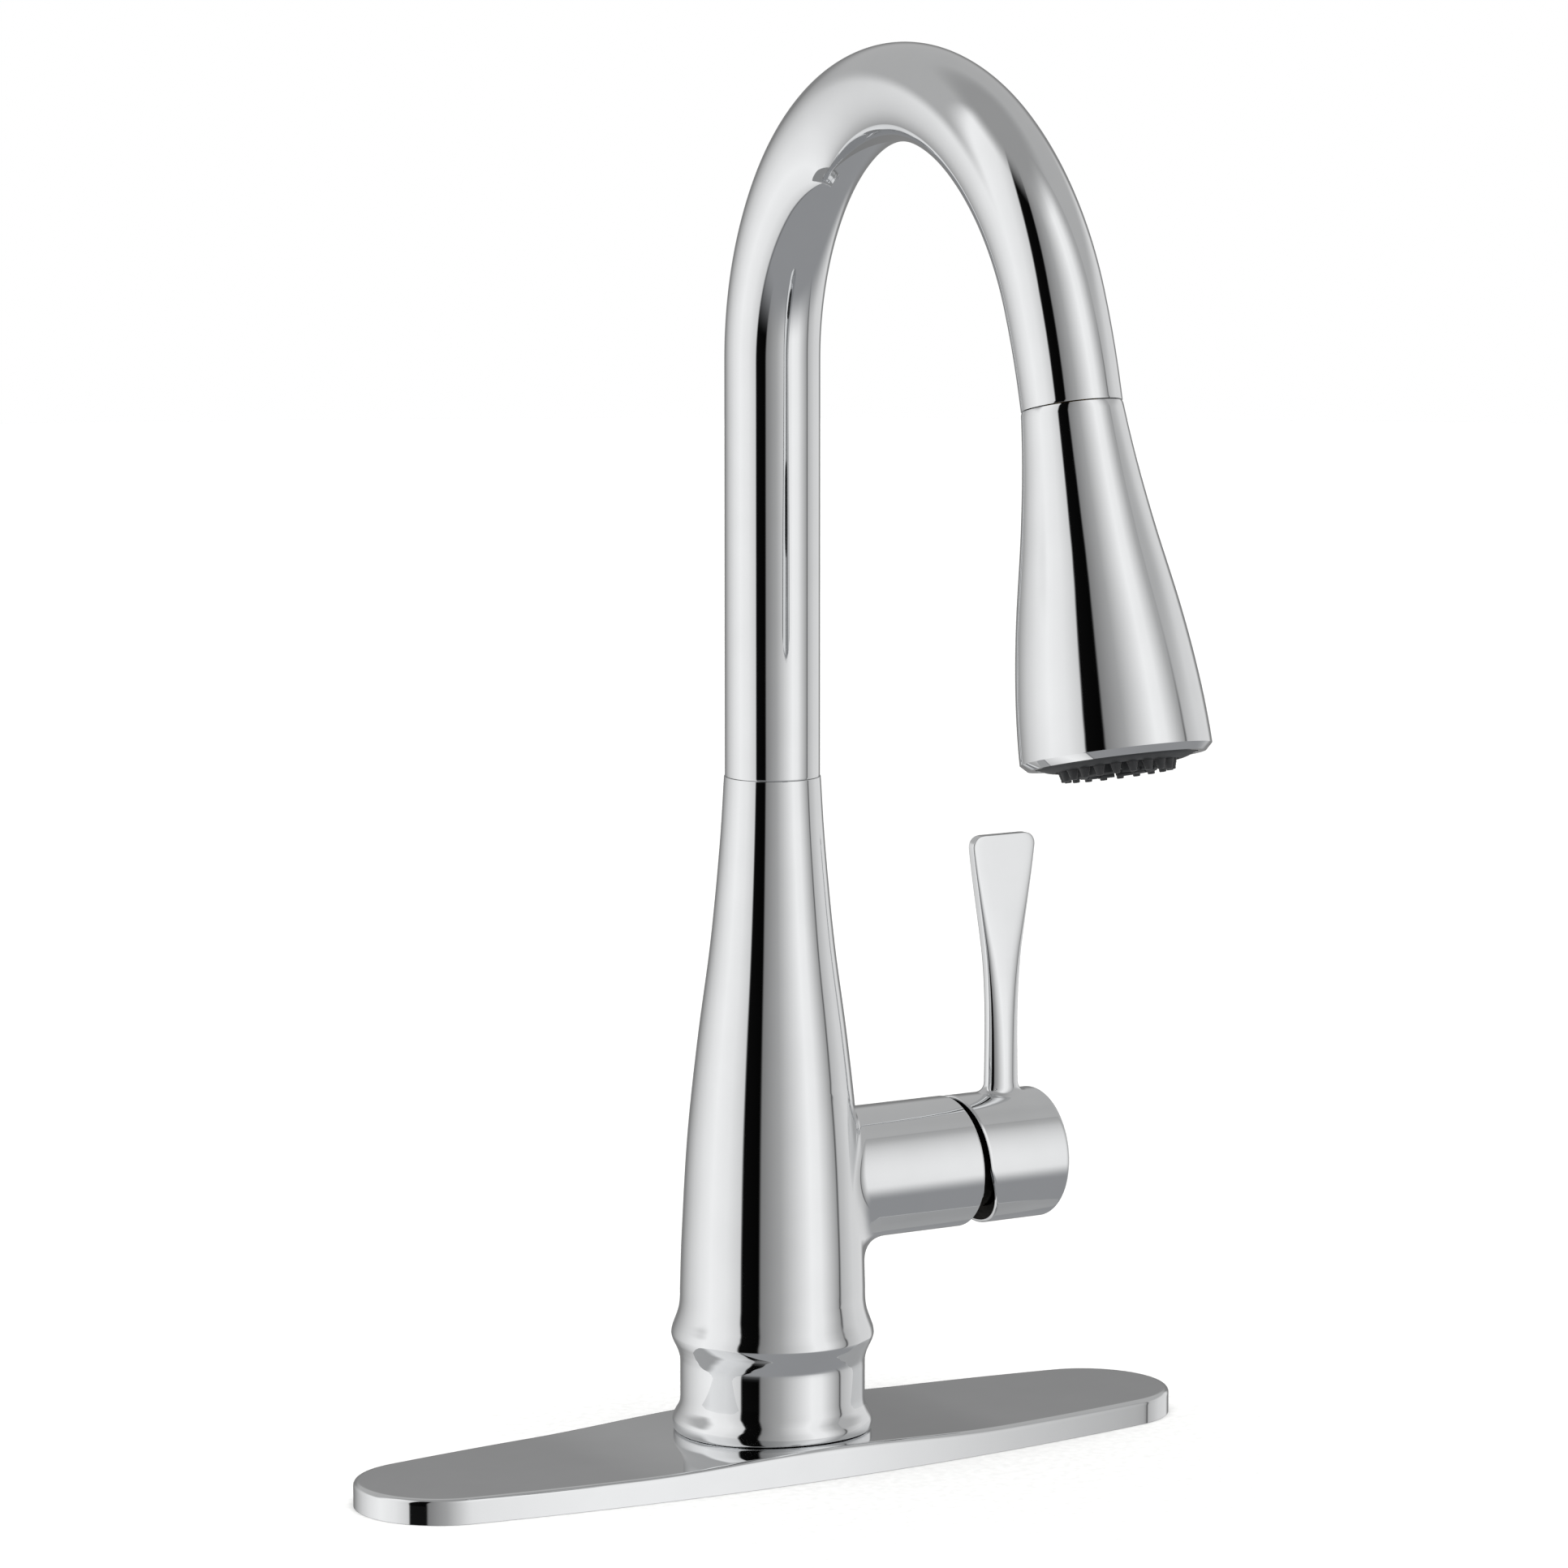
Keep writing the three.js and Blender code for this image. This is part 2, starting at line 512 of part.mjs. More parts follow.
// The moulded waterway inside the shell, with an inlet socket, a spool bore and an outlet cup.
function headWaterway() {
  const outer = [[0, 4], [9.6, 4], [9.6, 20], [11.4, 30], [11.4, 66], [18.4, 80], [18.4, 86], [0, 86]];
  const inlet = rod(7.2, 3, 24, 24);
  const spool = rod(3.6, 23, 70, 16);
  const cup = rod(16.6, 79, 87, ROUND);
  const buttonPocket = at(new THREE.BoxGeometry(12, 8, 30), 0, -12, BUTTON.along);
  const ears = [1, -1].map((side) => at(new THREE.BoxGeometry(2, 6, 8), side * 7.4, -11.2, BUTTON.along));
  const solid = join(turned(outer), ...ears);
  return cut(solid, inlet, spool, cup, buttonPocket, rockerAxle(1.3, 10), rod(3.6, 60, 80, 16));
}

const hoseSocket = () => turned([[2.6, -19], [5.6, -19], [5.6, -4], [6.9, -2], [6.9, 14], [2.6, 14]], 16);
const inletWasher = () => ring(2.6, 6.9, 14.3, 16);
const checkValve = () => ring(2.2, 6.9, 16.4, 23.4);
const diverterSpool = () => turned([[0, 28], [2.2, 28], [2.2, 33], [3.2, 33], [3.2, 37], [2.2, 37],
  [2.2, 55], [3.2, 55], [3.2, 59], [2.2, 59], [2.2, 66], [0, 66]], 12);

// A bar across the head on the rocker's axis.
const rockerAxle = (radius, halfLength) =>
  at(rod(radius, -halfLength, halfLength, 12).rotateY(Math.PI / 2), 0, -BUTTON.pinDepth, BUTTON.along);

// The rocker's cap follows the shell's flare, 1.2 mm proud of it. At rest its upper end is pressed in.
function rockerButton() {
  const proud = turned([[0, 20], ...headProfile(-1.2).slice(2, -2), [0, 80]], 48);
  const cap = keep(buttonPrism(0, 14.8, 30), proud);
  const foot = at(new THREE.BoxGeometry(5, 4.4, 6), 0, -12.9, BUTTON.along);
  const level = cut(join(cap, foot), rockerAxle(1.25, 10));
  return level.translate(0, BUTTON.pinDepth, -BUTTON.along)
    .rotateX(THREE.MathUtils.degToRad(BUTTON.tilt))
    .translate(0, -BUTTON.pinDepth, BUTTON.along);
}

// The plate's face swells towards the nozzles, which stand in a ring-shaped seat.
function sprayPlate() {
  const edge = HEAD.faceRadius - GAP;
  return turned([[10.5, 86.4], [edge, 86.4], [edge, 91.5], [18.4, 92], [15.9, 92.2], [15.9, 90.6],
    [10.5, 90.6]]);
}

// Tapered rubber nozzles stand on one ring.
function nozzleRing() {
  const { count, pitchRadius, base, tip, foot, end } = NOZZLES;
  const cones = Array.from({ length: count }, (_, i) => {
    const t = (2 * Math.PI * i) / count;
    const cone = turned([[0, foot - 0.4], [base, foot - 0.4], [tip, end], [0, end]], 5);
    return at(cone, pitchRadius * Math.cos(t), pitchRadius * Math.sin(t), 0);
  });
  return join(ring(10.6, 15.6, 90.9, foot, ROUND), ...cones);
}

// The stream outlet: a notched rim around a recessed screen.
function aerator() {
  const blank = turned([[0, 84], [10.2, 84], [10.2, 94.9], [9.8, 95.3], [8.4, 95.3], [8.4, 93.8],
    [0, 93.8]], 24);
  const notches = [0, 1, 2].map((i) =>
    at(new THREE.BoxGeometry(24, 1, 1.6), 0, 0, 95.3).rotateZ((i * Math.PI) / 3));
  return cut(blank, ...notches);
}

const flowDisc = () => ring(3.4, 9, 80, 83.4);

function dockCollar() {
  return turned([[7.6, -12], [10.9, -12], [10.9, -0.6], [7.6, -0.6]], 20);
}

// ---- assembly -----------------------------------------------------------------------------
function piece(name, geometry, look) {
  const mesh = new THREE.Mesh(geometry, new THREE.MeshStandardMaterial(look));
  mesh.name = name;
  return mesh;
}

const faucet = new THREE.Group();

faucet.add(
  piece("deck_plate", deckPlate(), CHROME),
  piece("plate_support", plateSupport(), DARK_PLASTIC),
  piece("plate_seal", plateSeal(), RUBBER),
  piece("faucet_body", faucetBody(), CHROME),
  piece("body_seal", ring(21.8, 24.2, BODY.bottom, BODY.bottom + 1.2), RUBBER),
  piece("mounting_shank", ring(SHANK.bore, SHANK.radius, SHANK.bottom, SHANK.top), BRASS),
  piece("deck_washer_rubber", ring(SHANK.radius + GAP, 26, -30.2, -27.7), RUBBER),
  piece("deck_washer_steel", ring(SHANK.radius + GAP, 26, -32.6, -30.5), STEEL),
  piece("mounting_nut", mountingNut(), BRASS),
  piece("nut_screw_left", nutScrew(-1), STEEL),
  piece("nut_screw_right", nutScrew(1), STEEL),
  piece("hot_inlet", nipple(PASSAGES.hot), BRASS),
  piece("cold_inlet", nipple(PASSAGES.cold), BRASS),
  piece("mixed_outlet", nipple(PASSAGES.mixed), BRASS),
);

faucet.add(
  piece("spout_tube", spoutTube(), CHROME),
  piece("spout_stem", spoutStem(), BRASS),
  piece("spout_bearing_upper", ring(9.7, 11.6, 176, 190), WHITE_PLASTIC),
  piece("spout_bearing_lower", ring(9.7, 11.6, 124, 138), WHITE_PLASTIC),
  piece("spout_friction_ring", ring(9.7, 11.6, 150, 152.2), RUBBER),
  piece("spout_clip", retainingClip(), STEEL),
  piece("pull_down_hose", pullDownHose(), BRAID),
  piece("hose_coupling", turned([[0, -92], [5, -92], [5, -84], [7, -84], [7, -68], [5.8, -66.4],
    [0, -66.4]], 24), BRASS),
);

// The valve's pieces are made along +Z and turned together to lie along +X.
const valve = new THREE.Group();
valve.position.set(0, 0, VALVE_HEIGHT);
valve.rotation.y = Math.PI / 2;
valve.add(
  piece("cartridge_housing", cartridgeHousing(), GREY_PLASTIC),
  piece("port_seal_hot", portSeal("hot"), RUBBER),
  piece("port_seal_cold", portSeal("cold"), RUBBER),
  piece("port_seal_mixed", portSeal("mixed"), RUBBER),
  piece("valve_disc_fixed", fixedDisc(), CERAMIC),
  piece("valve_disc_moving", movingDisc(), CERAMIC),
  piece("disc_carrier", discCarrier(), WHITE_PLASTIC),
  piece("stem_yoke", stemYoke(), STEEL),
  piece("stem_pin", crossPin(1.3, 11.6), STEEL),
  piece("valve_stem", valveStem(), STEEL),
  piece("cartridge_cap", cartridgeCap(), WHITE_PLASTIC),
  piece("cartridge_nut", retainingNut(), BRASS),
  piece("bonnet", bonnet(), CHROME),
  piece("lever_adapter", leverAdapter(), BRASS),
);
faucet.add(valve);

const setScrewGroup = new THREE.Group();
setScrewGroup.position.set(80.5, 0, VALVE_HEIGHT);
setScrewGroup.add(
  piece("handle_set_screw", setScrew(), STEEL),
  piece("set_screw_plug", screwPlug(), GREY_PLASTIC),
);
faucet.add(piece("handle", handleCasting(), CHROME), setScrewGroup);

// The head's frame stands on the seam with its +Z along the head, pointing down at the sink.
const archTurn = ARCH.reduce((sum, [, degrees]) => sum + degrees, 0);
const seam = spoutPath(TUBE.bottom, 0).getPoint(1);
const head = new THREE.Group();
head.position.copy(seam);
head.rotation.x = THREE.MathUtils.degToRad(archTurn);
head.add(
  piece("dock_collar", dockCollar(), DARK_PLASTIC),
  piece("hose_socket", hoseSocket(), BRASS),
  piece("inlet_washer", inletWasher(), RUBBER),
  piece("check_valve", checkValve(), WHITE_PLASTIC),
  piece("head_shell", headShell(), CHROME),
  piece("head_waterway", headWaterway(), DARK_PLASTIC),
  piece("diverter_spool", diverterSpool(), GREY_PLASTIC),
  piece("rocker_button", rockerButton(), DARK_PLASTIC),
  piece("rocker_pin", rockerAxle(0.95, 8.2), STEEL),
  piece("spray_plate", sprayPlate(), DARK_PLASTIC),
  piece("nozzle_ring", nozzleRing(), RUBBER),
  piece("aerator", aerator(), DARK_PLASTIC),
  piece("flow_disc", flowDisc(), WHITE_PLASTIC),
);
faucet.add(head);

export default faucet;
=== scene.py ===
import json
import math

import bmesh
import bpy
from mathutils import Matrix, Vector


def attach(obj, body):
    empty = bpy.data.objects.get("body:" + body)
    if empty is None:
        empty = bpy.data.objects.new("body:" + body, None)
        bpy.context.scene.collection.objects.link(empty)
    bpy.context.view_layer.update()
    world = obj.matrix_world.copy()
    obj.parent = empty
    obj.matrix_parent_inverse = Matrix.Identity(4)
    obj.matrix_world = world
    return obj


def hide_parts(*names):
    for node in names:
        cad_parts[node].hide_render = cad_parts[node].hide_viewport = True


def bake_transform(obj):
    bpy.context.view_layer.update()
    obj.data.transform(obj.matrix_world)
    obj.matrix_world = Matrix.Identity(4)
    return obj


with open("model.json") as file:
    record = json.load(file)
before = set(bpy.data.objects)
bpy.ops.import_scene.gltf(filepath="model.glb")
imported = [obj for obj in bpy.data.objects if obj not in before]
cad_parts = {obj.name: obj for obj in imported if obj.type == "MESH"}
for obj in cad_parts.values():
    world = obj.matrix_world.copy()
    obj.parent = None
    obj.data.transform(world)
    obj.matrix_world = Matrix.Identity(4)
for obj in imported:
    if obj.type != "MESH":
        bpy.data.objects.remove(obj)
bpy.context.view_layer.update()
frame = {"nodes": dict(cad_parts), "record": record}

bl_info = {
    "name": "Pull-down kitchen faucet",
    "version": (1, 0, 0),
    "blender": (4, 5, 0),
    "location": "3D View > Sidebar > Faucet",
    "description": "Builds the faucet, its spray head, handle and fixings on the packed frame",
    "category": "Object",
}

MM = 0.001  # every shape below is written in millimetres and built in metres
GAP = 0.3  # clearance between neighbouring pieces

# ---- sizes shared by more than one piece, all in millimetres ----
PLATE_HALF_LENGTH = 130
PLATE_END_RADIUS = 24
PLATE_HALF_WIDTH = 32.5
PLATE_WALL = 1.4
PLATE_FOOT = 0.6  # height of the first row of faces up the skirt
PLATE_WING_HEIGHT = 7
PLATE_CENTRE_RISE = 1.8
PLATE_RISE_REACH = 62
DECK_HOLE_RADIUS = 17.45

BODY_BOTTOM = 9.1
BODY_TOP = 192.3
VALVE_HEIGHT = 77.9  # the collar, the valve and the hub share this axis, along +X
COLLAR_RADIUS = 18.6
COLLAR_END = 58.9
JOINT_LEAN = 0.045  # slope of the joint between the collar and the hub, away from square
LEAN_REACH = 3  # the collar's last part, which takes up its lean
CHAMBER_RADIUS = 15.3
CHAMBER_FLOOR = 20

HUB_RADIUS = 18.5
HUB_START = 60.8
HUB_END = 87.8
HUB_CAVITY = 15.9
HUB_LIP = 0.8  # how thin the hub's open rim is
PIVOT_X = 61
LEVER_X = 76.3
LEVER_TOP = 170

TUBE_RADIUS = 13.15
TUBE_BORE = 11.6
TUBE_BOTTOM = BODY_TOP + 0.06  # the riser turns on the body with a hairline between them
ARCH_START = 307.4
# The arch leaves the riser as tangent arcs, each (radius, degrees), then a short straight end.
ARCH = ((81.6, 35.8), (68.7, 21.3), (63, 46.3), (71.2, 20.5), (83.4, 34.9), (187, 7.8))
ARCH_END = 2.6
ARCH_SETTLE = 0.0015  # share of its height the arch gives up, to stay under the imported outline

SEAM = (0, -145.2592, 304.9722)
HEAD_TURN = sum(degrees for _, degrees in ARCH)

# Frames that pieces are turned in: the part's own, the valve's (+Z lies along +X), and the head's
# (+Z runs down the head from the seam).
PART = Matrix.Identity(4)
VALVE = Matrix.Translation((0, 0, VALVE_HEIGHT)) @ Matrix.Rotation(math.radians(90), 4, "Y")
HEAD = Matrix.Translation(SEAM) @ Matrix.Rotation(math.radians(HEAD_TURN), 4, "X")


# ---- sizes and colours a user would change ----
def colour(code):
    """An sRGB hex colour as linear red, green and blue."""
    channels = [int(code[i:i + 2], 16) / 255 for i in (1, 3, 5)]
    return tuple(c / 12.92 if c <= 0.04045 else ((c + 0.055) / 1.055) ** 2.4 for c in channels)


def length(name, description, default_mm, low_mm, high_mm):
    return bpy.props.FloatProperty(
        name=name, description=description, default=default_mm * MM,
        min=low_mm * MM, max=high_mm * MM, precision=5, unit="LENGTH",
    )


def paint(name, description, code):
    return bpy.props.FloatVectorProperty(
        name=name, description=description, default=colour(code), size=3,
        min=0, max=1, subtype="COLOR",
    )


class FaucetSizes(bpy.types.PropertyGroup):
    plate_edge: length("Plate edge", "Radius of the deck plate's top edge", 1.4, 0.5, 3)
    collar_fillet: length("Collar fillet", "Fillet over the collar, on the column", 2.6, 1, 5)
    under_fillet: length("Under fillet", "Fillet under the collar, where it is largest", 9.5, 4, 11)
    rim_edge: length("Rim edge", "Edge radius of the collar and hub rims", 0.45, 0.1, 1)
    lever_fillet: length("Lever fillet", "Flare at the foot of the lever", 2.6, 1, 3)
    thread_pitch: length("Thread pitch", "Pitch of the mounting shank's thread", 1.8, 1, 3)
    edge_break: length("Edge break", "Bevel on machined and moulded edges", 0.25, 0.05, 0.5)


class FaucetColours(bpy.types.PropertyGroup):
    chrome: paint("Chrome", "Polished chrome plate", "#E8E9EA")
    brass: paint("Brass", "Machined brass fittings", "#BE9A56")
    steel: paint("Steel", "Zinc-plated and stainless steel", "#A9ABAD")
    spray_face: paint("Spray face", "Dark grey moulded plastic", "#2B2D2F")
    nozzle: paint("Nozzles", "Dark grey silicone rubber", "#38393B")
    counter: paint("Counter", "Pale matt worktop", "#F7F7F6")


# ---- modelling helpers ----
def activate(piece):
    """Makes one object the only selected one, and the active one."""
    bpy.ops.object.select_all(action="DESELECT")
    piece.select_set(True)
    bpy.context.view_layer.objects.active = piece


def edit(action="SELECT", mode="VERT"):
    """Enters edit mode on the active object, with all or nothing selected."""
    bpy.ops.object.mode_set(mode="EDIT")
    bpy.ops.mesh.select_mode(type=mode)
    bpy.ops.mesh.select_all(action=action)


def done():
    bpy.ops.object.mode_set(mode="OBJECT")


def close_up(piece, distance=2e-6):
    """Merges doubles and turns the faces outward."""
    activate(piece)
    edit()
    bpy.ops.mesh.remove_doubles(threshold=distance)
    bpy.ops.mesh.normals_make_consistent(inside=False)
    done()


def turn(name, profile, place=PART, steps=64, start=0.0):
    """Turns a (radius, height) profile in millimetres about a frame's Z axis, in edit mode.

    A profile that doesn't begin and end on the axis closes on itself.
    """
    points = list(profile)
    if points[0][0] > 0 or points[-1][0] > 0:
        points.append(points[0])
    spot = [place @ Vector((r, 0, z)) * MM for r, z in points]
    bpy.ops.object.select_all(action="DESELECT")
    bpy.ops.mesh.primitive_plane_add(size=MM)
    piece = bpy.context.object
    piece.name = name
    edit()
    bpy.ops.mesh.merge(type="CENTER")
    bpy.ops.transform.translate(value=spot[0])
    for here, there in zip(spot, spot[1:]):
        bpy.ops.mesh.extrude_region_move(TRANSFORM_OT_translate={"value": there - here})
    bpy.ops.mesh.select_all(action="SELECT")
    bpy.ops.mesh.remove_doubles(threshold=1e-6)
    axis = place.to_3x3() @ Vector((0, 0, 1))
    bpy.ops.mesh.select_all(action="SELECT")
    bpy.ops.mesh.spin(steps=steps, angle=2 * math.pi, center=place.translation * MM, axis=axis)
    done()
    close_up(piece)
    return piece


def skin(name, rings, start=None, end=None, across=False):
    """Skins rings of equal count, in millimetres.

    An end is closed by a fan to the point given, or both by strips across. With neither, the last
    ring joins the first. With only an end point, the first ring stays open.
    """
    count = len(rings[0])
    points = [p for ring in rings for p in ring]
    faces = []
    around = start is None and end is None and not across
    for k in range(len(rings) if around else len(rings) - 1):
        here, there = k * count, (k + 1) % len(rings) * count
        for i in range(count):
            j = (i + 1) % count
            faces.append((here + i, here + j, there + j, there + i))
    for tip, first in ((start, 0), (end, (len(rings) - 1) * count)):
        if tip is not None:
            points.append(tip)
            faces += [(first + i, first + (i + 1) % count, len(points) - 1) for i in range(count)]
        elif across:
            half = count // 2
            faces += [(first + i, first + i + 1, first + count - 1 - i, first + (count - i) % count)
                      for i in range(1, half - 1)]
            faces += [(first, first + 1, first + count - 1),
                      (first + half - 1, first + half, first + half + 1)]
    mesh = bpy.data.meshes.new(name)
    mesh.from_pydata([Vector(p) * MM for p in points], [], faces)
    return link(bpy.data.objects.new(name, mesh))


def link(thing):
    """Puts a new object in the scene."""
    bpy.context.scene.collection.objects.link(thing)
    return thing


def apply_modifier(piece, kind, **settings):
    activate(piece)
    modifier = piece.modifiers.new("shape", kind)
    for key, value in settings.items():
        setattr(modifier, key, value)
    bpy.ops.object.modifier_apply(modifier=modifier.name)


def break_edges(piece, width=None, segments=2, angle=35):
    """Bevels every edge sharper than an angle in degrees."""
    width = bpy.context.scene.faucet_sizes.edge_break if width is None else width * MM
    apply_modifier(piece, "BEVEL", width=width, segments=segments, limit_method="ANGLE",
                   angle_limit=math.radians(angle), use_clamp_overlap=True)


def carve(piece, tool, operation="DIFFERENCE"):
    """Cuts a tool from a piece, or keeps what they share, and removes the tool."""
    apply_modifier(piece, "BOOLEAN", object=tool, operation=operation, solver="EXACT")
    bpy.data.objects.remove(tool)


def gather(name, pieces):
    """Joins pieces into the first one."""
    activate(pieces[0])
    for piece in pieces:
        piece.select_set(True)
    bpy.ops.object.join()
    pieces[0].name = name
    return pieces[0]


def graft(piece, in_patch, rings, tip):
    """Swaps the faces of a patch for a branch skinned over rings and closed at its tip."""
    activate(piece)
    edit("DESELECT", "FACE")
    mesh = bmesh.from_edit_mesh(piece.data)
    for face in mesh.faces:
        face.select_set(in_patch(face.calc_center_median() / MM))
    bmesh.update_edit_mesh(piece.data)
    bpy.ops.mesh.delete(type="FACE")
    done()
    piece = gather(piece.name, [piece, skin("branch", rings, end=tip)])
    close_up(piece, 2e-5)
    return piece


def block(name, low, high, place=PART):
    """A box between two corners in a frame, in millimetres, used as a cutting tool or a blank."""
    bpy.ops.object.select_all(action="DESELECT")
    bpy.ops.mesh.primitive_cube_add(size=1)
    piece = bpy.context.object
    piece.name = name
    centre = (Vector(low) + Vector(high)) / 2
    size = Vector(high) - Vector(low)
    fit = place @ Matrix.Translation(centre) @ Matrix.Diagonal((*size, 1))
    piece.data.transform(Matrix.Scale(MM, 4) @ fit)
    return piece


def settle(piece, body, slot, cad_node, look=None, angle=32):
    """Checks that a piece is closed, then gives it the finish of its slot and its shading, hides the
    imported node it stands for, and hangs it on its body.
    """
    mesh = bmesh.new()
    mesh.from_mesh(piece.data)
    open_edges = sum(1 for e in mesh.edges if len(e.link_faces) != 2)
    mesh.free()
    if open_edges:
        raise RuntimeError(f"{piece.name} has {open_edges} open edges")
    piece.data.materials.clear()
    piece.data.materials.append(finishes()[look or slot])
    activate(piece)
    bpy.ops.object.shade_smooth_by_angle(angle=math.radians(angle))
    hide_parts(cad_node)
    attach(piece, body)
    return piece


# ---- curves ----
FILLET_PULL = 0.62  # how far a fillet holds to each surface on its way to the corner
NUDGE = 0.02  # a small step along a surface, which gives the direction it runs in


def smooth(controls, per_span):
    """Points on a smooth curve through (radius, height) controls."""
    ends = [controls[0], *controls, controls[-1]]
    points = []
    for a, b, c, d in zip(ends, ends[1:], ends[2:], ends[3:]):
        for i in range(per_span):
            t = i / per_span
            points.append(tuple(
                0.5 * (2 * q + (r - p) * t + (2 * p - 5 * q + 4 * r - s) * t ** 2
                       + (3 * q - p - 3 * r + s) * t ** 3)
                for p, q, r, s in zip(a, b, c, d)))
    return [*points, tuple(controls[-1])]


def arc(centre, radius, start, stop, steps):
    """Points along an arc in a profile, from one angle to another in degrees."""
    angles = [math.radians(start + (stop - start) * i / steps) for i in range(steps + 1)]
    return [(centre[0] + radius * math.cos(a), centre[1] + radius * math.sin(a)) for a in angles]


def mix(a, b, t):
    return a + (b - a) * t


def spaced(low, high, count):
    """Evenly spaced values, count steps from low to high."""
    return [mix(low, high, i / count) for i in range(count + 1)]


def circle(radius, z, count):
    turns = [2 * math.pi * i / count for i in range(count)]
    return [(radius * math.cos(t), radius * math.sin(t), z) for t in turns]


def at_height(profile, z):
    """The radius of a dense rising profile at a height."""
    for (r0, z0), (r1, z1) in zip(profile, profile[1:]):
        if z0 <= z <= z1:
            return mix(r0, r1, (z - z0) / (z1 - z0))
    return profile[-1][0] if z > profile[-1][1] else profile[0][0]


def blend_curve(foot, foot_way, top, top_way, corner, steps):
    """Points of a fillet between two surfaces, tangent to each, without its first point."""
    a = foot + foot_way * (corner - foot).length * FILLET_PULL
    b = top + top_way * (corner - top).length * FILLET_PULL
    return [foot * (1 - t) ** 3 + a * 3 * t * (1 - t) ** 2 + b * 3 * t * t * (1 - t) + top * t ** 3
            for t in spaced(0, 1, steps)[1:]]


def patch_border(u_lines, v_lines):
    """The border of a rectangular patch, once round, as (u, v, angle round its middle)."""
    (u0, *_, u1), (v0, *_, v1) = u_lines, v_lines
    border = [(u, v0) for u in u_lines[:-1]] + [(u1, v) for v in v_lines[:-1]]
    border += [(u, v1) for u in reversed(u_lines[1:])] + [(u0, v) for v in reversed(v_lines[1:])]
    middle, half = ((u0 + u1) / 2, (v0 + v1) / 2), ((u1 - u0) / 2, (v1 - v0) / 2)
    return [(u, v, math.atan2((v - middle[1]) / half[1], (u - middle[0]) / half[0]))
            for u, v in border]


def patch_rings(border, hole, surface, steps):
    """Rings on a surface from a patch's border to a hole in it."""
    return [[surface(mix(u, hu, t), mix(v, hv, t)) for (u, v, _), (hu, hv) in zip(border, hole)]
            for t in spaced(0, 1, steps)]


# ---- node helper and finishes ----
def node(tree, kind, settings=None, inputs=None):
    """Adds a node, with its settings, and its inputs as values or links."""
    made = tree.nodes.new(kind)
    for key, value in (settings or {}).items():
        setattr(made, key, value)
    for key, value in (inputs or {}).items():
        if isinstance(value, bpy.types.NodeSocket):
            tree.links.new(value, made.inputs[key])
        else:
            made.inputs[key].default_value = value
    return made


def start_finish(name, base, constants):
    """A new material with the shader's own constants set."""
    material = bpy.data.materials.new(name)
    material.use_nodes = True
    shader = material.node_tree.nodes["Principled BSDF"]
    for key, value in {"Base Color": (*base, 1), **constants}.items():
        shader.inputs[key].default_value = value
    return material, material.node_tree, shader


def pattern(tree, shader, base, tone, darkest, relief, depth_mm):
    """Lets one pattern darken the colour to a share of itself, and one raise the surface."""
    deep = (*(channel * darkest for channel in base), 1)
    tint = node(tree, "ShaderNodeMix", {"data_type": "RGBA"},
                {"Factor": tone, "A": deep, "B": (*base, 1)})
    tree.links.new(tint.outputs["Result"], shader.inputs["Base Color"])
    if depth_mm:
        bump = node(tree, "ShaderNodeBump",
                    inputs={"Height": relief, "Distance": depth_mm * MM, "Strength": 0.5})
        tree.links.new(bump.outputs["Normal"], shader.inputs["Normal"])


BRAID_STRANDS = 12  # strands each way round the hose
EVEN = (1, 1, 1)
LATHE = (0.12, 0.12, 1)  # draws a grain out round a turned piece


def grained(name, base, constants, gloss, tone, relief=0, depth_mm=0):
    """A finish whose roughness and colour follow noises on the piece's own coordinates.

    gloss is a grain with the lowest and highest roughness, tone a grain with the darkest share of
    the colour, and relief says which of the two the surface follows. A grain is its size in
    millimetres, its detail and its stretch.
    """
    material, tree, shader = start_finish(name, base, constants)
    place = node(tree, "ShaderNodeTexCoord").outputs["Object"]
    noises, shares = [], []
    for (size_mm, detail, stretch), low, high in (gloss, (tone[0], 0, 1)):
        spread = node(tree, "ShaderNodeMapping", inputs={"Vector": place, "Scale": stretch})
        noises.append(node(tree, "ShaderNodeTexNoise", inputs={
            "Vector": spread.outputs["Vector"], "Scale": 1 / (size_mm * MM), "Detail": detail,
        }).outputs["Fac"])
        shares.append(node(tree, "ShaderNodeMapRange", inputs={
            "Value": noises[-1], "From Min": 0.3, "From Max": 0.7, "To Min": low, "To Max": high,
        }).outputs["Result"])
    tree.links.new(shares[0], shader.inputs["Roughness"])
    pattern(tree, shader, base, shares[1], tone[1], noises[relief], depth_mm)
    return material


def polished_chrome(base):
    """Chrome plate on a polished casting: a mirror with the faint unevenness of hand polishing."""
    haze = (14, 3, EVEN)
    return grained("polished chrome plate", base, {"Metallic": 1, "Roughness": 0.03},
                   (haze, 0.02, 0.05), (haze, 0.97))


def machined_metal(name, base, roughness, line_mm=0.25):
    """Bare metal turned on a lathe: fine rings round the cut, drawn a little coarse to show."""
    return grained(name, base, {"Metallic": 1, "Roughness": roughness},
                   ((line_mm, 2, LATHE), roughness - 0.06, roughness + 0.08),
                   ((6, 3, EVEN), 0.86), 0, 0.02)


def moulded_plastic(name, base, roughness, grain_mm=0.35, depth_mm=0.02):
    """Injection-moulded plastic: even colour with a fine spark-eroded texture from the tool."""
    return grained(name, base, {"Roughness": roughness, "IOR": 1.49},
                   ((9, 3, EVEN), roughness - 0.05, roughness + 0.05),
                   ((grain_mm, 4, EVEN), 0.9), 1, depth_mm)


def soft_rubber(name, base):
    """Moulded rubber: dull, slightly dusty, with a soft grain."""
    dust = (1.2, 5, EVEN)
    return grained(name, base, {"Roughness": 0.62, "IOR": 1.42, "Sheen Weight": 0.15},
                   (dust, 0.55, 0.7), (dust, 0.82), 0, 0.03)


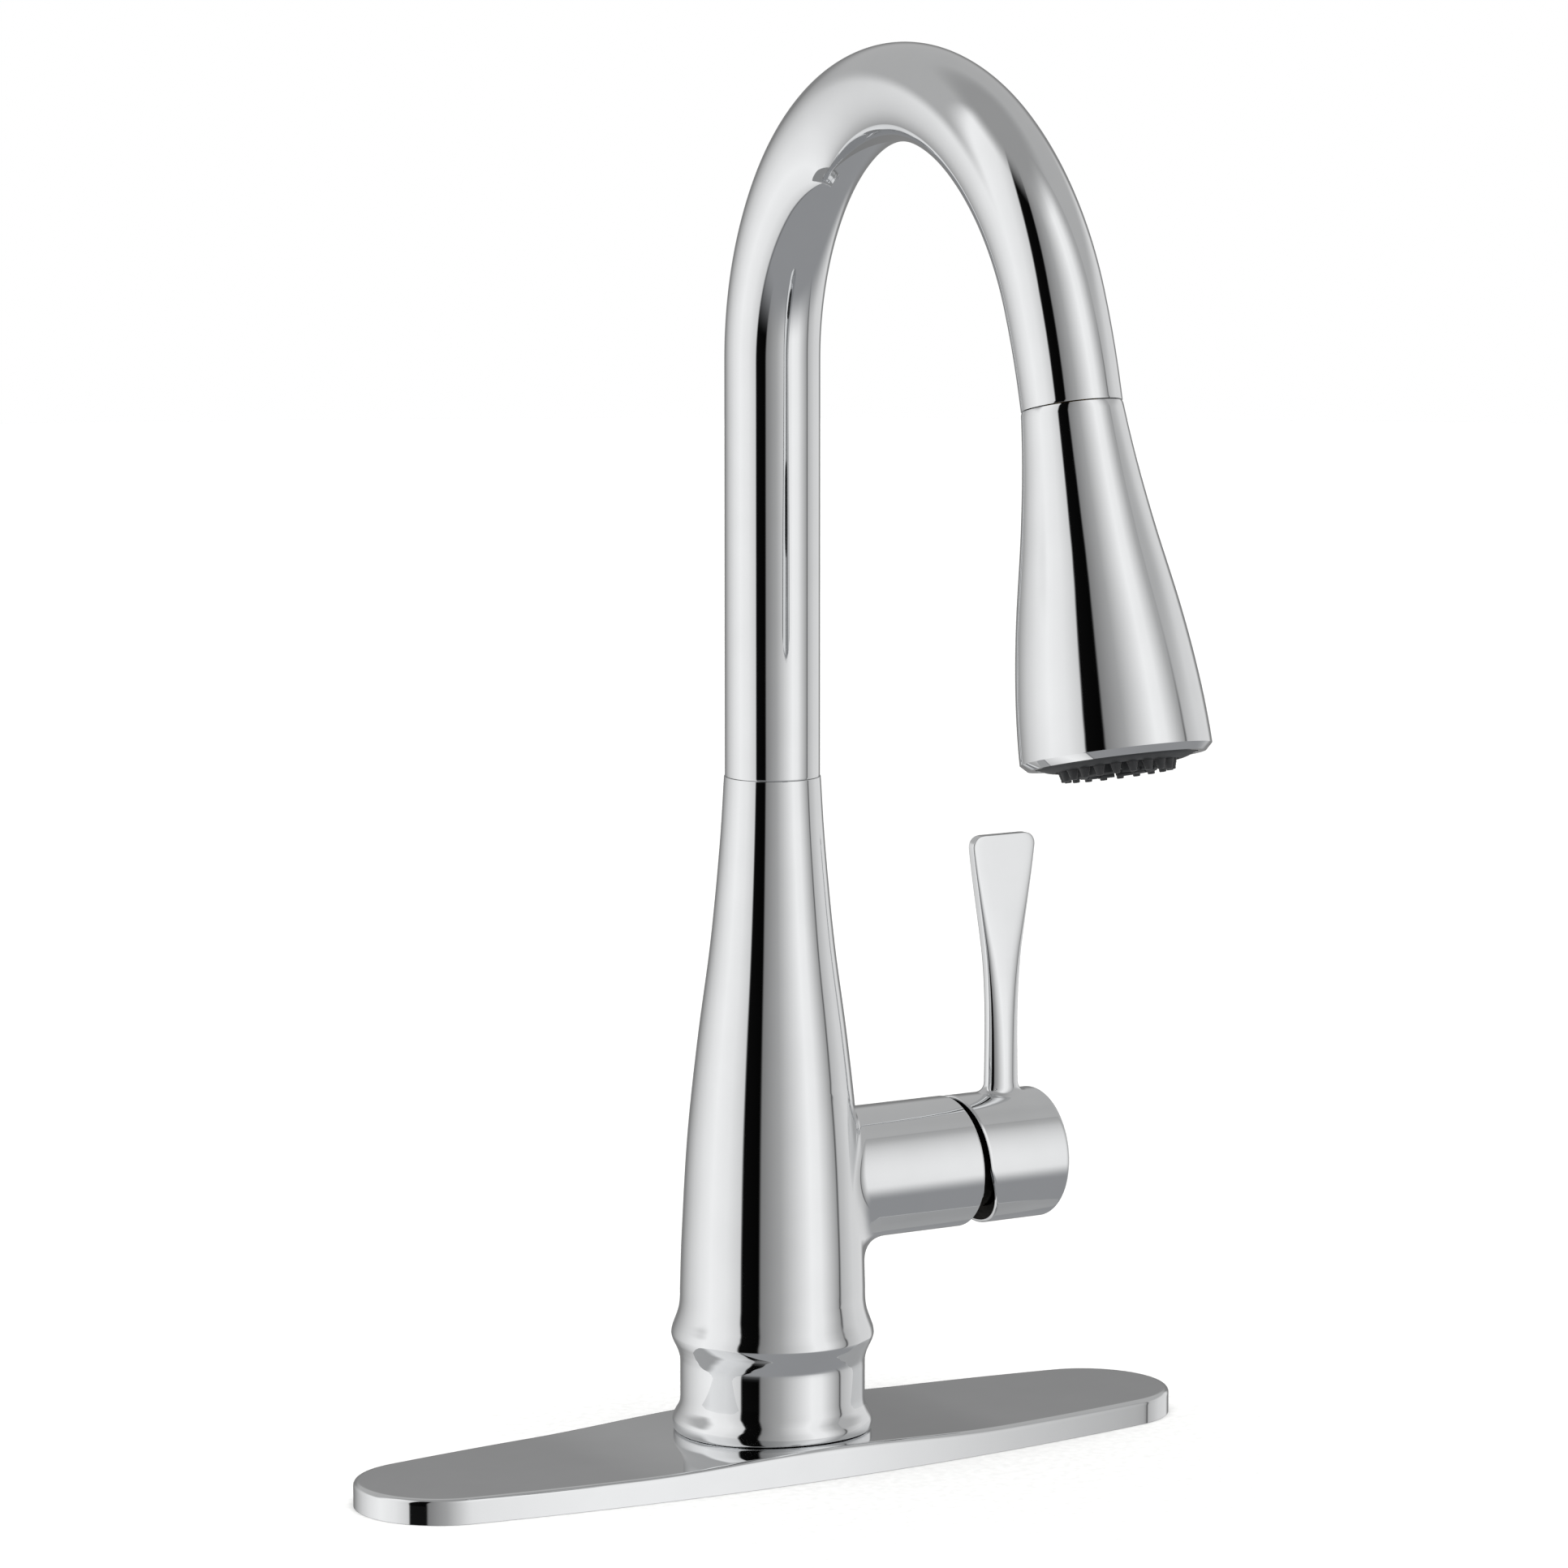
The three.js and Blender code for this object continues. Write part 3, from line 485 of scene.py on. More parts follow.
def lapped_ceramic(base):
    """Alumina valve disc: chalk white, lapped until it has a silky glaze."""
    speck = (0.5, 4, EVEN)
    return grained("lapped alumina ceramic", base, {"Roughness": 0.22, "IOR": 1.7},
                   (speck, 0.18, 0.28), (speck, 0.94))


def woven_braid(base):
    """Nylon braid over the hose: two sets of crossing strands, following the hose along its map."""
    material, tree, shader = start_finish(
        "woven nylon braid", base, {"Roughness": 0.55, "Sheen Weight": 0.3})
    place = node(tree, "ShaderNodeTexCoord").outputs["UV"]
    along = node(tree, "ShaderNodeSeparateXYZ", inputs={"Vector": place}).outputs
    waves = []
    for sign in (1, -1):
        value = along["X"]
        for operation, by in (("MULTIPLY", sign), ("ADD", along["Y"]),
                              ("MULTIPLY", 2 * math.pi * BRAID_STRANDS), ("SINE", 0)):
            value = node(tree, "ShaderNodeMath", {"operation": operation},
                         {0: value, 1: by}).outputs[0]
        waves.append(value)
    high = node(tree, "ShaderNodeMath", {"operation": "MAXIMUM"}, {0: waves[0], 1: waves[1]})
    lift = node(tree, "ShaderNodeMapRange", inputs={
        "Value": high.outputs[0], "From Min": -0.6, "From Max": 1}).outputs["Result"]
    pattern(tree, shader, base, lift, 0.3, lift, 0.25)
    return material


def finishes():
    """Every finish, made once and shared."""
    if "polished chrome plate" in bpy.data.materials:
        return {m["finish"]: m for m in bpy.data.materials if "finish" in m}
    colours = bpy.context.scene.faucet_colours
    made = {
        "chrome": polished_chrome(tuple(colours.chrome)),
        "brass": machined_metal("machined brass", tuple(colours.brass), 0.3),
        "steel": machined_metal("zinc-plated steel", tuple(colours.steel), 0.34),
        "dark_plastic": moulded_plastic("dark grey ABS", tuple(colours.spray_face), 0.42),
        "grey_plastic": moulded_plastic("mid grey acetal", colour("#6D7073"), 0.45),
        "white_plastic": moulded_plastic("natural acetal", colour("#DEDCD4"), 0.4),
        "rubber": soft_rubber("black nitrile rubber", colour("#1F2021")),
        "nozzle": soft_rubber("dark silicone rubber", tuple(colours.nozzle)),
        "ceramic": lapped_ceramic(colour("#E8E6DF")),
        # Near-black finish for the hub's hollow: bare unplated casting, darkened further as painted
        # shade for the dark inside of the hollow.
        "cast": machined_metal("unplated casting", colour("#2E2C29"), 0.6, 0.6),
        "braid": woven_braid(colour("#4A4D52")),
        "counter": moulded_plastic("matt worktop", tuple(colours.counter), 0.8, 2.5, 0.002),
    }
    for key, material in made.items():
        material["finish"] = key
    return made


# ---- deck plate ----
def plate_outline(inset):
    """Two round ends joined by long shallow arcs, moved inward by an inset. Starts at +X."""
    end_centre = PLATE_HALF_LENGTH - PLATE_END_RADIUS
    drop = PLATE_HALF_WIDTH - PLATE_END_RADIUS
    side_radius = (end_centre ** 2 + PLATE_HALF_WIDTH ** 2 - PLATE_END_RADIUS ** 2) / (2 * drop)
    side_start = math.atan2(side_radius - PLATE_HALF_WIDTH, end_centre)
    r = PLATE_END_RADIUS - inset
    quarter = [(end_centre + r * math.cos(t), r * math.sin(t)) for t in spaced(0, side_start, 24)]
    r = side_radius - inset
    quarter += [(r * math.cos(t), PLATE_HALF_WIDTH - side_radius + r * math.sin(t))
                for t in spaced(side_start, math.pi / 2, 40)[1:]]
    back = quarter + [(-x, y) for x, y in reversed(quarter[:-1])]
    return back + [(x, -y) for x, y in reversed(back[1:-1])]


def plate_height(x):
    share = min(abs(x) / PLATE_RISE_REACH, 1)
    return PLATE_WING_HEIGHT + PLATE_CENTRE_RISE * math.cos(math.pi / 2 * share) ** 2


def plate_ring(inset, drop):
    return [(x, y, plate_height(x) - drop) for x, y in plate_outline(inset)]


def skirt_ring(inset, z):
    return [(x, y, z) for x, y in plate_outline(inset)]


class FAUCET_OT_deck_plate(bpy.types.Operator):
    """Pressed deck plate: flat wings rising to a crowned middle, with a tight rolled edge"""
    bl_idname = "faucet.deck_plate"
    bl_label = "Deck plate"

    def execute(self, context):
        edge = context.scene.faucet_sizes.plate_edge / MM
        wall = PLATE_WALL
        rings = [plate_ring(wall + 1, wall), plate_ring(wall, wall),
                 skirt_ring(wall, PLATE_FOOT), skirt_ring(wall, 0),
                 skirt_ring(0, 0), skirt_ring(0, PLATE_FOOT), plate_ring(0, edge + 0.4)]
        for t in spaced(0, math.pi / 2, 8):
            rings.append(plate_ring(edge * (1 - math.cos(t)), edge * (1 - math.sin(t))))
        rings.append(plate_ring(edge + 0.5, 0))
        piece = skin("plate_cover", rings, across=True)
        close_up(piece)
        r = DECK_HOLE_RADIUS
        carve(piece, turn("hole", [(0, -5), (r, -5), (r, 15), (0, 15)]))
        settle(piece, "base", "chrome", "deck_plate")
        return {"FINISHED"}


# ---- body ----
BODY_STEPS = 144  # columns of faces round the body
COLUMN = 2 * math.pi / BODY_STEPS
BODY_PATCH_HALF = 31  # columns each side of the collar that its fillet takes
BODY_PATCH_Z = (46, 106)
BODY_PATCH_ROWS = 30
BODY_SKIN = 20  # the body's outer faces are further than this from its axis, up to the patch

FOOT_CREST = 10.8
FOOT_JOINT = 0.08  # the foot's lower rim follows the crowned plate this closely
FOOT = smooth([(27.1, BODY_BOTTOM), (27.75, 9.5), (28.05, FOOT_CREST), (27.85, 12), (27.25, 13.2),
               (26.5, 14.5), (25.98, 15.8), (25.8, 17.4)], 4)
BAND = [(25.8, 18.4), (25.8, 22.5), (25.8, 26.6)]
BEAD = smooth([(25.8, 27.6), (25.86, 28.5), (26.06, 29.5), (26.45, 30.8), (27.05, 32.2), (27.75, 33.6),
               (28.2, 34.9), (28.3, 35.8), (28.05, 37.2), (27.45, 38.9), (26.75, 40.8), (26.2, 42.8),
               (25.92, 45), (25.84, 47.4), (25.8, 50), (25.3, 64.5), (23.7, 91.6), (20.8, 118.8),
               (17.2, 145.9), (14.6, 173.1), (13.4, BODY_TOP)], 8)
# The riser's socket, the web under it, and the open foot for the pipes and the shank.
BODY_BORE = [(11.9, BODY_TOP), (11.9, 115), (7.5, 115), (7.5, 28.3), (16.9, 28.3),
             (16.9, BODY_BOTTOM)]


def column_point(theta, z):
    r = at_height(BEAD, z)
    return Vector((r * math.cos(theta), r * math.sin(theta), z))


def collar_rings(sizes):
    """Rings from the column's surface, over the fillet, along the collar and into its chamber."""
    reach = COLUMN * BODY_PATCH_HALF
    border = patch_border(spaced(-reach, reach, 2 * BODY_PATCH_HALF),
                          spaced(*BODY_PATCH_Z, BODY_PATCH_ROWS))
    top_fillet, under_fillet = sizes.collar_fillet / MM, sizes.under_fillet / MM
    hole, fillets = [], []
    for _, _, angle in border:
        y, z = COLLAR_RADIUS * math.cos(angle), VALVE_HEIGHT + COLLAR_RADIUS * math.sin(angle)
        r = at_height(BEAD, z)
        x = math.sqrt(r * r - y * y)
        theta = math.atan2(y, x)
        fillet = mix(top_fillet, under_fillet, ((1 - math.sin(angle)) / 2) ** 3)
        way = Vector((r * theta, z - VALVE_HEIGHT)).normalized()
        u, v = theta + fillet * way.x / r, z + fillet * way.y
        hole.append((u, v))
        foot = column_point(u, v)
        foot_way = (column_point(mix(u, theta, NUDGE), mix(v, z, NUDGE)) - foot).normalized()
        fillets.append(blend_curve(foot, foot_way, Vector((x + fillet, y, z)), Vector((-1, 0, 0)),
                                   Vector((x, y, z)), 12))
    rings = patch_rings(border, hole, column_point, 10)
    rings += [list(ring) for ring in zip(*fillets)]
    edge = sizes.rim_edge / MM
    outline = [(COLLAR_RADIUS, COLLAR_END - LEAN_REACH), (COLLAR_RADIUS, COLLAR_END - edge - 0.4)]
    outline += arc((COLLAR_RADIUS - edge, COLLAR_END - edge), edge, 0, 90, 4)
    outline += [(CHAMBER_RADIUS + 0.4, COLLAR_END), (CHAMBER_RADIUS, COLLAR_END - 0.4),
                (CHAMBER_RADIUS, CHAMBER_FLOOR + 0.5), (CHAMBER_RADIUS - 0.5, CHAMBER_FLOOR)]
    for r, x in outline:
        lean = JOINT_LEAN * max(0, x - COLLAR_END + LEAN_REACH) / LEAN_REACH
        rings.append([Vector((x - lean * r * math.sin(a), r * math.cos(a),
                              VALVE_HEIGHT + r * math.sin(a))) for _, _, a in border])
    return rings


class FAUCET_OT_body(bpy.types.Operator):
    """Cast body: foot, neck band, bead and flared column, with the valve's collar blended in"""
    bl_idname = "faucet.body"
    bl_label = "Body"

    def execute(self, context):
        low, high = BODY_PATCH_Z
        heights = spaced(low, high, BODY_PATCH_ROWS) + list(range(high + 3, 191, 3))
        outside = [*FOOT, *BAND, *((r, z) for r, z in BEAD if z < low - 0.2)]
        outside += [(at_height(BEAD, z), z) for z in heights]
        outside += [(13.42, 191.6), *arc((13.24, BODY_TOP - 0.15), 0.15, 0, 90, 4)]
        piece = turn("body_casting", outside + BODY_BORE, steps=BODY_STEPS)
        for vertex in piece.data.vertices:
            x, y, z = vertex.co / MM
            if math.hypot(x, y) > BODY_SKIN and z < FOOT_CREST:
                share = (FOOT_CREST - z) / (FOOT_CREST - BODY_BOTTOM)
                vertex.co.z -= share * (BODY_BOTTOM - plate_height(x) - FOOT_JOINT) * MM
        reach = COLUMN * BODY_PATCH_HALF

        def in_patch(c):
            outer = math.hypot(c.x, c.y) > BODY_SKIN
            return outer and low < c.z < high and abs(math.atan2(c.y, c.x)) < reach

        rings = collar_rings(context.scene.faucet_sizes)
        piece = graft(piece, in_patch, rings, (CHAMBER_FLOOR, 0, VALVE_HEIGHT))
        settle(piece, "base", "chrome", "faucet_body")
        return {"FINISHED"}


# ---- handle ----
LEVER_PATCH_HALF = 15  # columns each side of the lever that its flare takes
LEVER_PATCH_X = (66, 86.4)
LEVER_PATCH_ROWS = 20
# Sections of the lever: height, width, thickness, and how square the section is (2 is an oval).
LEVER_SECTIONS = ((93, 10.4, 7.6, 2.15), (104, 10, 7.3, 2.15), (117, 9.8, 6.5, 2.4),
                  (127, 10.4, 5.7, 2.9), (136, 11.8, 4.9, 3.8), (145, 14.4, 4.2, 5.5),
                  (154, 17.2, 3.7, 8), (163, 19.9, 3.3, 11), (170, 21.6, 3.1, 12))
LEVER_CORNER = 3.6
LEVER_ROOT = 98  # the section here is the one that meets the hub
STEM_BORE = 7.6  # the hub's bore over the lever adapter
BLEND_END = 78  # the hub's rim is cut back from here to its mouth
RIM_CUT = math.tan(math.radians(19))  # slope of the rim below the valve's axis
RIM_EASE = 2.5  # rounds the change of slope at the axis
# The handle's set screw and its plug stand in the hub's lower side.
GRUB_PLACE = Matrix.Translation((80.5, 0, VALVE_HEIGHT))


def lever_section(z):
    """Width, thickness and squareness at a height, with the top corners rounded off."""
    columns = [smooth([(s[i], s[0]) for s in LEVER_SECTIONS], 8) for i in (1, 2, 3)]
    width, thickness, square = (at_height(column, z) for column in columns)
    over = z - (LEVER_TOP - LEVER_CORNER)
    if over > 0:
        width -= 2 * (LEVER_CORNER - math.sqrt(max(LEVER_CORNER ** 2 - over ** 2, 0)))
    return width, thickness, square


def lever_point(angle, z):
    width, thickness, square = lever_section(z)
    power = 2 / square
    x = math.copysign(abs(math.cos(angle)) ** power, math.cos(angle))
    y = math.copysign(abs(math.sin(angle)) ** power, math.sin(angle))
    return Vector((LEVER_X + x * width / 2, y * thickness / 2, z))


def hub_point(x, turn_angle):
    """A point on the hub. The angle is from straight up towards +Y."""
    y, z = math.sin(turn_angle), math.cos(turn_angle)
    return Vector((x, HUB_RADIUS * y, VALVE_HEIGHT + HUB_RADIUS * z))


def lever_rings(sizes):
    """Rings from the hub's surface, over the flare and up the lever."""
    reach = COLUMN * LEVER_PATCH_HALF
    border = patch_border(spaced(*LEVER_PATCH_X, LEVER_PATCH_ROWS),
                          spaced(-reach, reach, 2 * LEVER_PATCH_HALF))
    flare = sizes.lever_fillet / MM
    hole, fillets = [], []
    for _, _, angle in border:
        x, y, _ = lever_point(angle, LEVER_ROOT)
        turned = math.asin(y / HUB_RADIUS)
        corner = hub_point(x, turned)
        way = Vector((x - LEVER_X, HUB_RADIUS * turned)).normalized()
        spot = (x + flare * way.x, turned + flare * way.y / HUB_RADIUS)
        hole.append(spot)
        foot = hub_point(*spot)
        near = hub_point(mix(spot[0], x, NUDGE), mix(spot[1], turned, NUDGE))
        contact = lever_point(angle, corner.z + flare * 1.15)
        fillets.append(blend_curve(foot, (near - foot).normalized(), contact, Vector((0, 0, -1)),
                                   corner, 10))
    rings = patch_rings(border, hole, hub_point, 8)
    rings += [list(ring) for ring in zip(*fillets)]
    heights = [101, 103, *range(106, 163, 4), 165]
    heights += [LEVER_TOP - LEVER_CORNER * (1 - math.sin(math.radians(a))) for a in range(0, 90, 9)]
    return rings + [[lever_point(a, z) for _, _, a in border] for z in (*heights, LEVER_TOP)]


def rim_shift(height):
    """How far the hub's rim leans back from the collar, at a height from the valve's axis."""
    return RIM_CUT * (math.sqrt(height * height + RIM_EASE) - height) / 2


class FAUCET_OT_handle(bpy.types.Operator):
    """Handle casting: a hub with its lower rim cut back, and a flat lever flaring out of it"""
    bl_idname = "faucet.handle"
    bl_label = "Handle"

    def execute(self, context):
        sizes = context.scene.faucet_sizes
        edge = sizes.rim_edge / MM
        low, high = LEVER_PATCH_X
        outside = [(HUB_RADIUS - edge, HUB_START),
                   (HUB_RADIUS - edge * 0.3, HUB_START + edge * 0.3)]
        outside += [(HUB_RADIUS, x) for x in (HUB_START + edge, HUB_START + edge + 0.5, 63.5,
                                              *spaced(low, high, LEVER_PATCH_ROWS))]
        outside += [*arc((HUB_RADIUS - 0.9, HUB_END - 0.9), 0.9, 0, 90, 6),
                    (HUB_RADIUS - 1.6, HUB_END), (0, HUB_END)]
        bore_x = PIVOT_X + math.sqrt(HUB_CAVITY ** 2 - STEM_BORE ** 2)
        stop = math.degrees(math.asin((bore_x - PIVOT_X) / HUB_CAVITY))
        cavity = [(0, 85), (STEM_BORE, 85), (STEM_BORE, bore_x),
                  *arc((0, PIVOT_X), HUB_CAVITY, stop, 12, 14)[1:],
                  (HUB_RADIUS - HUB_LIP, HUB_START)]
        piece = turn("handle_lever", cavity + outside, VALVE, BODY_STEPS)
        for vertex in piece.data.vertices:
            x, y, z = vertex.co / MM
            height = z - VALVE_HEIGHT
            radius = math.hypot(y, height)
            reach = max(0, min(1, (BLEND_END - x) / (BLEND_END - HUB_START)))
            moved = x + rim_shift(height) * reach
            if x < low:
                moved -= JOINT_LEAN * height * (low - x) / (low - HUB_START)
            # The round cavity keeps its own shape, so its wall moves in or out instead.
            if STEM_BORE + 0.1 < radius < HUB_CAVITY + 0.1 and PIVOT_X + 0.5 < x < bore_x:
                inner = math.sqrt(max(HUB_CAVITY ** 2 - (moved - PIVOT_X) ** 2, STEM_BORE ** 2))
                y, height = y * inner / radius, height * inner / radius
            if radius > STEM_BORE + 0.1 and x < BLEND_END:
                vertex.co = Vector((moved, y, VALVE_HEIGHT + height)) * MM
        reach = COLUMN * LEVER_PATCH_HALF

        def in_patch(c):
            height = c.z - VALVE_HEIGHT
            outer = math.hypot(c.y, height) > HUB_RADIUS - 0.1
            return outer and low < c.x < high and abs(math.atan2(c.y, height)) < reach

        piece = graft(piece, in_patch, lever_rings(sizes), (LEVER_X, 0, LEVER_TOP))
        carve(piece, turn("hole", [(0, -25), (2.3, -25), (2.3, 0), (0, 0)],
                          GRUB_PLACE, 32))
        settle(piece, "lever", "chrome", "handle")
        # The hub's hollow takes the near-black casting finish: partly its bare metal, partly painted
        # shade where the hollow lies dark.
        piece.data.materials.append(finishes()["cast"])
        for face in piece.data.polygons:
            x, y, z = face.center / MM
            inside = math.hypot(y, z - VALVE_HEIGHT) < HUB_RADIUS - HUB_LIP - 0.2
            if x < 85.5 and inside:
                face.material_index = 1
        return {"FINISHED"}


# ---- spout ----
def heading(degrees):
    """The direction along the spout after turning this far from straight up."""
    t = math.radians(degrees)
    return Vector((0, -math.sin(t), math.cos(t)))


def arch_arcs():
    """The arch's arcs as (centre, degrees), from the riser on, and the point where they end."""
    spot, turned, arcs = Vector((0, 0, ARCH_START)), 0.0, []
    for radius, degrees in ARCH:
        centre = spot + heading(turned + 90) * radius
        arcs.append((centre, degrees))
        turned += degrees
        spot = centre - heading(turned + 90) * radius
    return arcs, spot


class FAUCET_OT_spout(bpy.types.Operator):
    """Bent spout tube: a straight riser spun on through the arch's arcs, with a real wall"""
    bl_idname = "faucet.spout"
    bl_label = "Spout tube"

    def execute(self, context):
        bpy.ops.object.select_all(action="DESELECT")
        bpy.ops.mesh.primitive_circle_add(vertices=96, radius=TUBE_RADIUS * MM)
        piece = context.object
        piece.name = "spout_arch"
        edit()
        bpy.ops.transform.translate(value=(0, 0, TUBE_BOTTOM * MM))
        rows = (TUBE_BOTTOM, TUBE_BOTTOM + 0.6, 230, 270, ARCH_START)
        for z0, z1 in zip(rows, rows[1:]):
            rise = (0, 0, (z1 - z0) * MM)
            bpy.ops.mesh.extrude_edges_move(TRANSFORM_OT_translate={"value": rise})
        for centre, degrees in arch_arcs()[0]:
            bpy.ops.mesh.spin(steps=max(4, round(degrees / 1.6)), angle=math.radians(degrees),
                              center=centre * MM, axis=(-1, 0, 0))
        way = heading(HEAD_TURN) * MM
        for step in (ARCH_END - 0.6, 0.6):
            bpy.ops.mesh.extrude_edges_move(TRANSFORM_OT_translate={"value": way * step})
        done()
        close_up(piece)
        for vertex in piece.data.vertices:
            over = vertex.co.z - ARCH_START * MM
            vertex.co.z -= max(over, 0) * ARCH_SETTLE
        apply_modifier(piece, "SOLIDIFY", thickness=(TUBE_RADIUS - TUBE_BORE) * MM, offset=-1)
        break_edges(piece, 0.1, 2, 50)
        settle(piece, "spout", "chrome", "spout_tube")
        return {"FINISHED"}


# ---- hose ----
HOSE_RADIUS = 5.2
HOSE_SIDES = 32
HOSE_BOTTOM = -66
HOSE_END = 19.3  # the hose ends this far before the seam, in the head's socket
HOSE_SPLIT = 60  # the last part of the hose is a piece of its own, from the spout's end to the head


def spout_line(step=2.0):
    """Points along the spout's centreline from the hose's lower end to the seam."""
    points = [Vector((0, 0, z)) for z in range(HOSE_BOTTOM, int(ARCH_START), 4)]
    arcs, last = arch_arcs()
    turned = 0.0
    for (centre, degrees), (radius, _) in zip(arcs, ARCH):
        count = max(3, round(math.radians(degrees) * radius / step))
        for i in range(count):
            points.append(centre - heading(turned + degrees * i / count + 90) * radius)
        turned += degrees
    return [*points, last, last + heading(turned) * ARCH_END]


def hose_piece(name, line):
    """A hose along points, with closed ends and a map of once round by turns of length."""
    rings, along = [], [0.0]
    for here, there in zip(line, line[1:]):
        along.append(along[-1] + (there - here).length)
    for i, spot in enumerate(line):
        way = (line[min(i + 1, len(line) - 1)] - line[max(i - 1, 0)]).normalized()
        up = Vector((1, 0, 0)).cross(way)
        rings.append([spot + Vector((x, 0, 0)) + up * y
                      for x, y, _ in circle(HOSE_RADIUS, 0, HOSE_SIDES)])
    piece = skin(name, rings, start=line[0], end=line[-1])
    layer = piece.data.uv_layers.new(name="hose_map")
    for face in piece.data.polygons:
        turns = [vertex % HOSE_SIDES / HOSE_SIDES for vertex in face.vertices]
        wraps = max(turns) - min(turns) > 0.5
        for loop, vertex, share in zip(face.loop_indices, face.vertices, turns):
            ring = min(vertex // HOSE_SIDES, len(line) - 1)
            u = share + 1 if wraps and share < 0.5 else share
            layer.data[loop].uv = (u, along[ring] / (2 * math.pi * HOSE_RADIUS))
    close_up(piece)
    return piece


class FAUCET_OT_hose(bpy.types.Operator):
    """Braided pull-down hose: one run held in the spout, and a separate run from its end to the head
    """
    bl_idname = "faucet.hose"
    bl_label = "Hose"

    def execute(self, context):
        line = spout_line()
        left, here = 0.0, line[-1]
        run = []
        for spot in reversed(line):
            left += (spot - here).length
            here = spot
            if left >= HOSE_SPLIT:
                run.insert(0, spot)
        settle(hose_piece("hose_run", run), "spout", "braid", "pull_down_hose")
        way = (Vector(SEAM) - run[-1]).normalized()
        first = run[-1] + way * GAP
        last = Vector(SEAM) - heading(HEAD_TURN) * HOSE_END
        draw = [first.lerp(last, t) for t in spaced(0, 1, 60)]
        stretch = hose_piece("hose_draw", draw)
        stretch.data.materials.append(finishes()["braid"])
        activate(stretch)
        bpy.ops.object.shade_smooth_by_angle(angle=math.radians(40))
        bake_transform(stretch)
        return {"FINISHED"}


# ---- spray head ----
HEAD_RIM = 24.8
HEAD_LENGTH = 91.8
RIM_BEVEL = 1.8
FACE_RADIUS = 21
NOZZLES = 20
NOZZLE_RING = 13.8  # radius of the ring the nozzles stand on
HEAD_WALL = 2
HEAD_OUTSIDE = ((13.15, 0), (14, 8.6), (15.05, 17.3), (16.3, 25.9), (17.7, 34.5), (19.3, 43.2),
                (20.85, 51.8), (22.2, 60.5), (23.3, 69.1), (24.15, 77.7), (24.65, 85.6),
                (HEAD_RIM, HEAD_LENGTH - RIM_BEVEL))
ROCKER_ALONG = 47
ROCKER_LENGTH = 26
ROCKER_WIDTH = 13
ROCKER_PIN = 12.5
ROCKER_TILT = 4


def capsule(name, grow, near, far):
    """A prism with the rocker's outline, standing out of the head's rear side."""
    half, radius = ROCKER_LENGTH / 2 + grow, ROCKER_WIDTH / 2 + grow
    outline = [(radius * math.cos(t), ROCKER_ALONG + side * (half - radius) + radius * math.sin(t))
               for side, start in ((1, 0), (-1, math.pi))
               for t in spaced(start, start + math.pi, 48)]
    rings = [[HEAD @ Vector((x, -y, s)) for x, s in outline] for y in (near, far)]
    middle = [HEAD @ Vector((0, -y, ROCKER_ALONG)) for y in (near, far)]
    piece = skin(name, rings, start=middle[0], end=middle[1])
    close_up(piece)
    return piece


class FAUCET_OT_head_shell(bpy.types.Operator):
    """Flared spray-head shell with a bevelled rim and the rocker's window in its rear"""
    bl_idname = "faucet.head_shell"
    bl_label = "Head shell"

    def execute(self, context):
        outside = smooth(HEAD_OUTSIDE, 6)
        outside[0] = (13.05, GAP)
        rim = [(HEAD_RIM - 0.08, HEAD_LENGTH - RIM_BEVEL + 0.12),
               (HEAD_RIM - RIM_BEVEL, HEAD_LENGTH), (FACE_RADIUS + 0.2, HEAD_LENGTH),
               (FACE_RADIUS, HEAD_LENGTH - 0.2), (FACE_RADIUS, 89)]
        inside = [(r - HEAD_WALL, s) for r, s in smooth(HEAD_OUTSIDE, 2)][1:-1]
        piece = turn("spray_shell", outside + rim + inside[::-1] + [(11.15, GAP)], HEAD, 144)
        carve(piece, capsule("window", 0.8, 12, 30))
        settle(piece, "spray_head", "chrome", "head_shell")
        return {"FINISHED"}


class FAUCET_OT_rocker(bpy.types.Operator):
    """Rocker on the rear of the head, with three grip ribs at each end"""
    bl_idname = "faucet.rocker"
    bl_label = "Mode rocker"

    def execute(self, context):
        proud = [(r + 1.15, s) for r, s in smooth(HEAD_OUTSIDE, 4) if 20 < s < 80]
        crown = turn("crown", [(0, 20), *proud, (0, 80)], HEAD, 144)
        cap = capsule("mode_rocker_cap", 0, 14.8, 30)
        carve(cap, crown, "INTERSECT")
        break_edges(cap, 0.5, 3, 50)
        ribs = []
        for along in (-9.4, -7.6, -5.8, 5.8, 7.6, 9.4):
            s = ROCKER_ALONG + along
            surface = -(at_height(smooth(HEAD_OUTSIDE, 4), s) + 1.0)
            low, high = (-3.2, surface - 0.2, s - 0.4), (3.2, surface + 0.8, s + 0.4)
            ribs.append(block("rib", low, high, HEAD))
            break_edges(ribs[-1], 0.18, 2)
        foot = block("foot", (-2.5, -15.1, ROCKER_ALONG - 3), (2.5, -10.7, ROCKER_ALONG + 3), HEAD)
        break_edges(foot)
        piece = gather("mode_rocker_cap", [cap, foot, *ribs])
        pin = HEAD @ Vector((0, -ROCKER_PIN, ROCKER_ALONG))
        tilt = (Matrix.Translation(pin) @ Matrix.Rotation(math.radians(ROCKER_TILT), 4, "X")
                @ Matrix.Translation(-pin))
        tilt.translation *= MM
        piece.data.transform(tilt)
        settle(piece, "rocker", "dark_plastic", "rocker_button")
        return {"FINISHED"}


